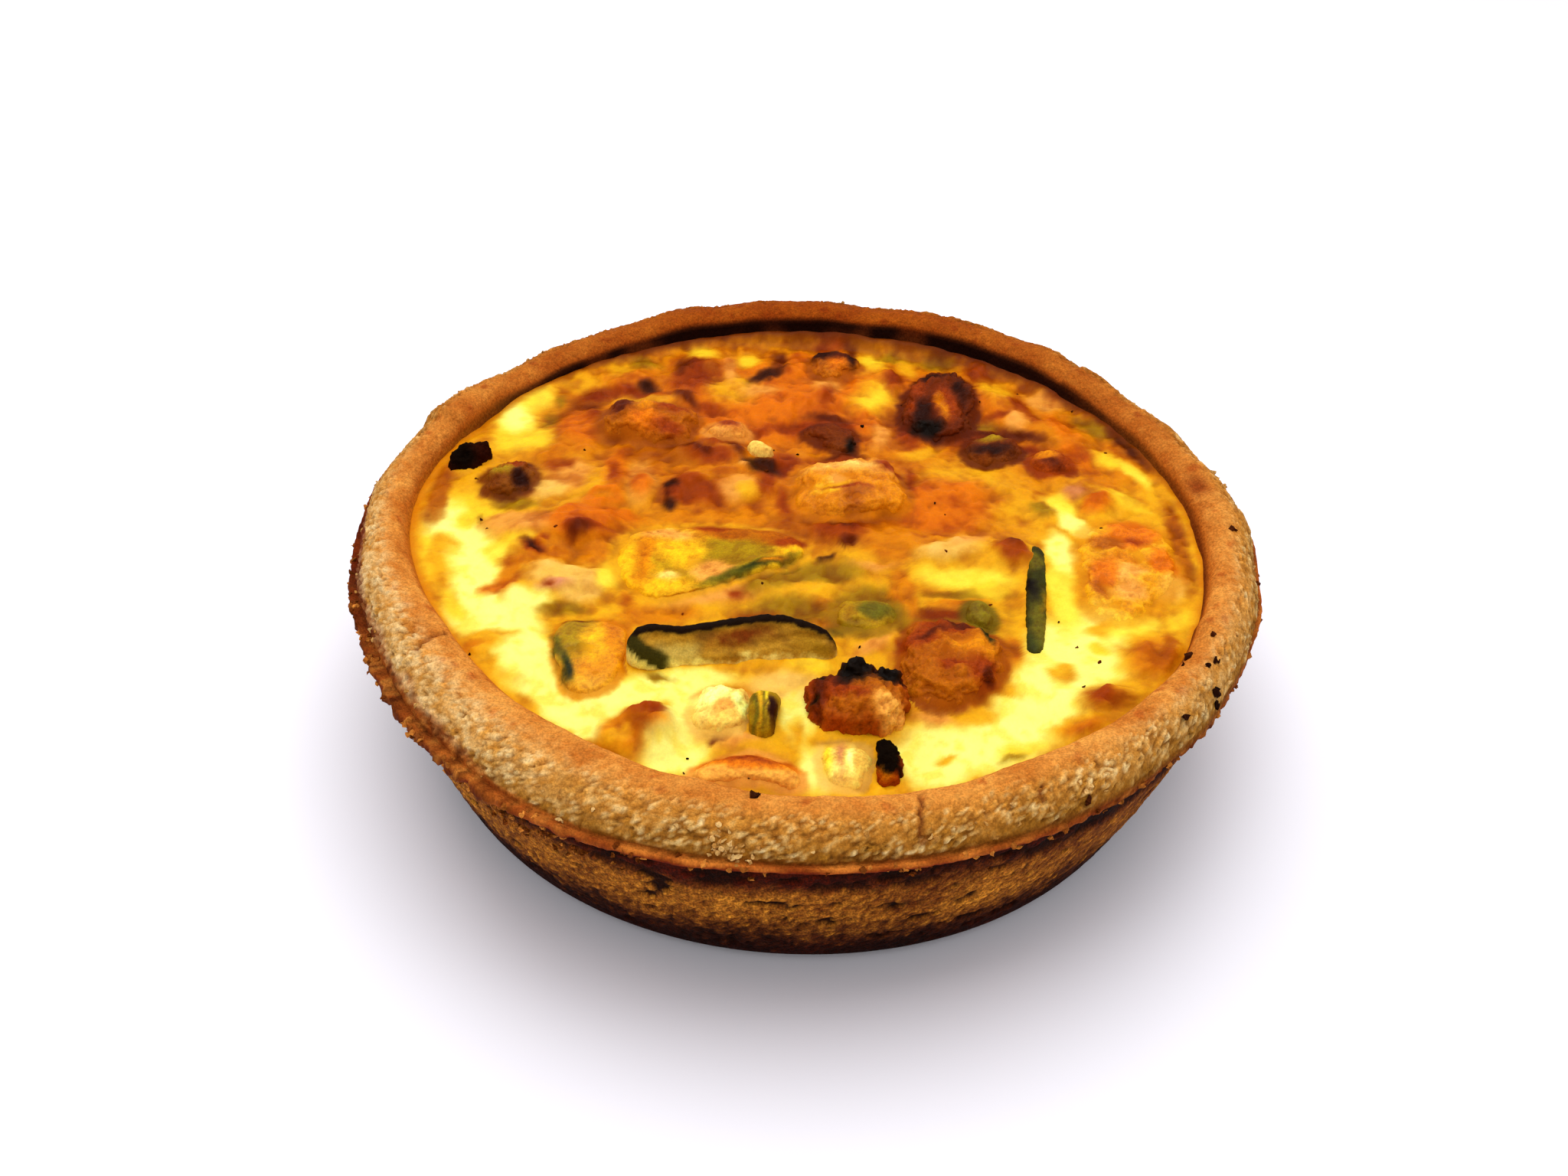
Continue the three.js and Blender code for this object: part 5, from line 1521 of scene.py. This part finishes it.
# %% Scattering
def scatter_crumbs(name, surface, chance, per_square_mm, smallest, largest, seed, tones, finish):
    """A piece of crumbs on a surface, in colours between two tones."""
    ground = bpy.data.objects.new(name + "_ground", surface.data.copy())
    scene.collection.objects.link(ground)
    store(ground, "chance", chance)
    modifier = ground.modifiers.new("crumbs", "NODES")
    modifier.node_group = CRUMB_TREE
    values = {
        "Crumbs per square metre": per_square_mm / MM**2,
        "Smallest": smallest * MM,
        "Largest": largest * MM,
        "Seed": seed,
        "Finish": FINISHES[finish],
    }
    for socket, value in values.items():
        modifier[CRUMB_SOCKETS[socket]] = value
    made = bpy.data.meshes.new_from_object(ground.evaluated_get(bpy.context.evaluated_depsgraph_get()))
    bpy.data.objects.remove(ground)
    piece = bpy.data.objects.new(name, made)
    scene.collection.objects.link(piece)
    shade = np.empty(len(made.vertices), dtype=np.float32)
    made.attributes["shade"].data.foreach_get("value", shade)
    if "tint" in made.attributes:
        made.attributes.remove(made.attributes["tint"])
    store(piece, "tint", linear(shade_between(*tones, shade)))
    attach(piece, "root")
    print(name, len(made.polygons), "faces")


# %% Where the crumbs are
def shell_values(values):
    """Values of the shell's rows as values of its mesh points, with nothing at the two ends."""
    return np.concatenate([[0, 0], values[inner_rings]])


def near_spots(points, spots, reach):
    """1 at each of some places on the plan, fading out over a reach."""
    total = np.zeros(len(points))
    for x, y in spots:
        total = np.maximum(total, ease(1 - np.hypot(points[:, 0] - x, points[:, 1] - y) / reach))
    return total


TONES.update({
    "crumb_dark": (104, 46, 8), "crumb_tan": (222, 140, 56), "crumb_ochre": (176, 118, 50),
    "crumb_pale": (234, 190, 120), "crumb_black": (24, 8, 4), "crumb_rust": (80, 34, 10),
    "speck_black": (20, 8, 3), "speck_rust": (120, 50, 10),
})

# Places on the plan of single crumbs
LIP_BREAKS = [(-9.0, -58.6), (-7.4, -59.2), (-5.8, -59.6)]
BURNT_CRUMBS = [(49.1, -29.1), (42.9, -38.9), (49.7, -23.7), (48.8, -32.3), (44.9, -27.9), (-5.5, -53.3)]
SPECKS = [
    (-13.4, -47.8), (-6.3, -48.5), (14.9, -12.7), (-44, -2.3), (-46.2, 6.5), (-30.6, -27.2), (12.5, -31.8),
]

clusters = ease(0.35 + 1.3 * hills(places, 3.4, 73))
ragged_edge = crumbling * clusters * (on_ledge + 0.7 * on_wall * ease((height_of - 15) / 8))
brown_chance = ragged_edge + 0.06 * on_ledge + 0.05 * on_wall * ease((height_of - 18) / 6)
pale_chance = 0.12 * on_band * clusters * (row_of < 13.5) + 1.6 * near_spots(places, LIP_BREAKS, 1.7) * on_rim
burnt_chance = near_spots(places, BURNT_CRUMBS, 1.6) * on_rim + 0.002 * on_band
brown_chance, pale_chance, burnt_chance = map(shell_values, (brown_chance, pale_chance, burnt_chance))
speck_chance = np.concatenate([
    near_spots(flat_grid, SPECKS, 0.5) + 0.0008 * ease(edge_distance / 3),
    np.zeros(len(custard.data.vertices) - len(flat_grid)),
])

# Name, surface, chance, crumbs for each square millimetre, smallest, largest, seed, two tones and finish
for crumbs in (
    ("crumbs_brown", crust, brown_chance, 2.6, 0.25, 1.0, 3, ("crumb_dark", "crumb_tan"), "baked_dough"),
    ("crumbs_pale", crust, pale_chance, 1.6, 0.2, 0.8, 5, ("crumb_ochre", "crumb_pale"), "baked_dough"),
    ("crumbs_burnt", crust, burnt_chance, 0.8, 0.4, 1.3, 7, ("crumb_black", "crumb_rust"), "burnt"),
    ("specks_on_custard", custard, speck_chance, 5.0, 0.2, 0.6, 11, ("speck_black", "speck_rust"), "burnt"),
):
    scatter_crumbs(*crumbs)

# %% [markdown]
# ## The table
#
# The table is a white sheet, far larger than the view. It is not part of the quiche.

# %% Table
TABLE_HALF = 1.5
table_points = np.array([(-1, -1, 0), (1, -1, 0), (1, 1, 0), (-1, 1, 0)]) * TABLE_HALF / MM
table = mesh_object("table", table_points, [(0, 1, 2, 3)])
white = bpy.data.materials.new("white_table")
white.use_nodes = True
white.node_tree.nodes["Principled BSDF"].inputs["Base Color"].default_value = (0.95, 0.93, 1.0, 1)
white.node_tree.nodes["Principled BSDF"].inputs["Roughness"].default_value = 0.6
table.data.materials.append(white)
print("table", 2 * TABLE_HALF, "m wide")
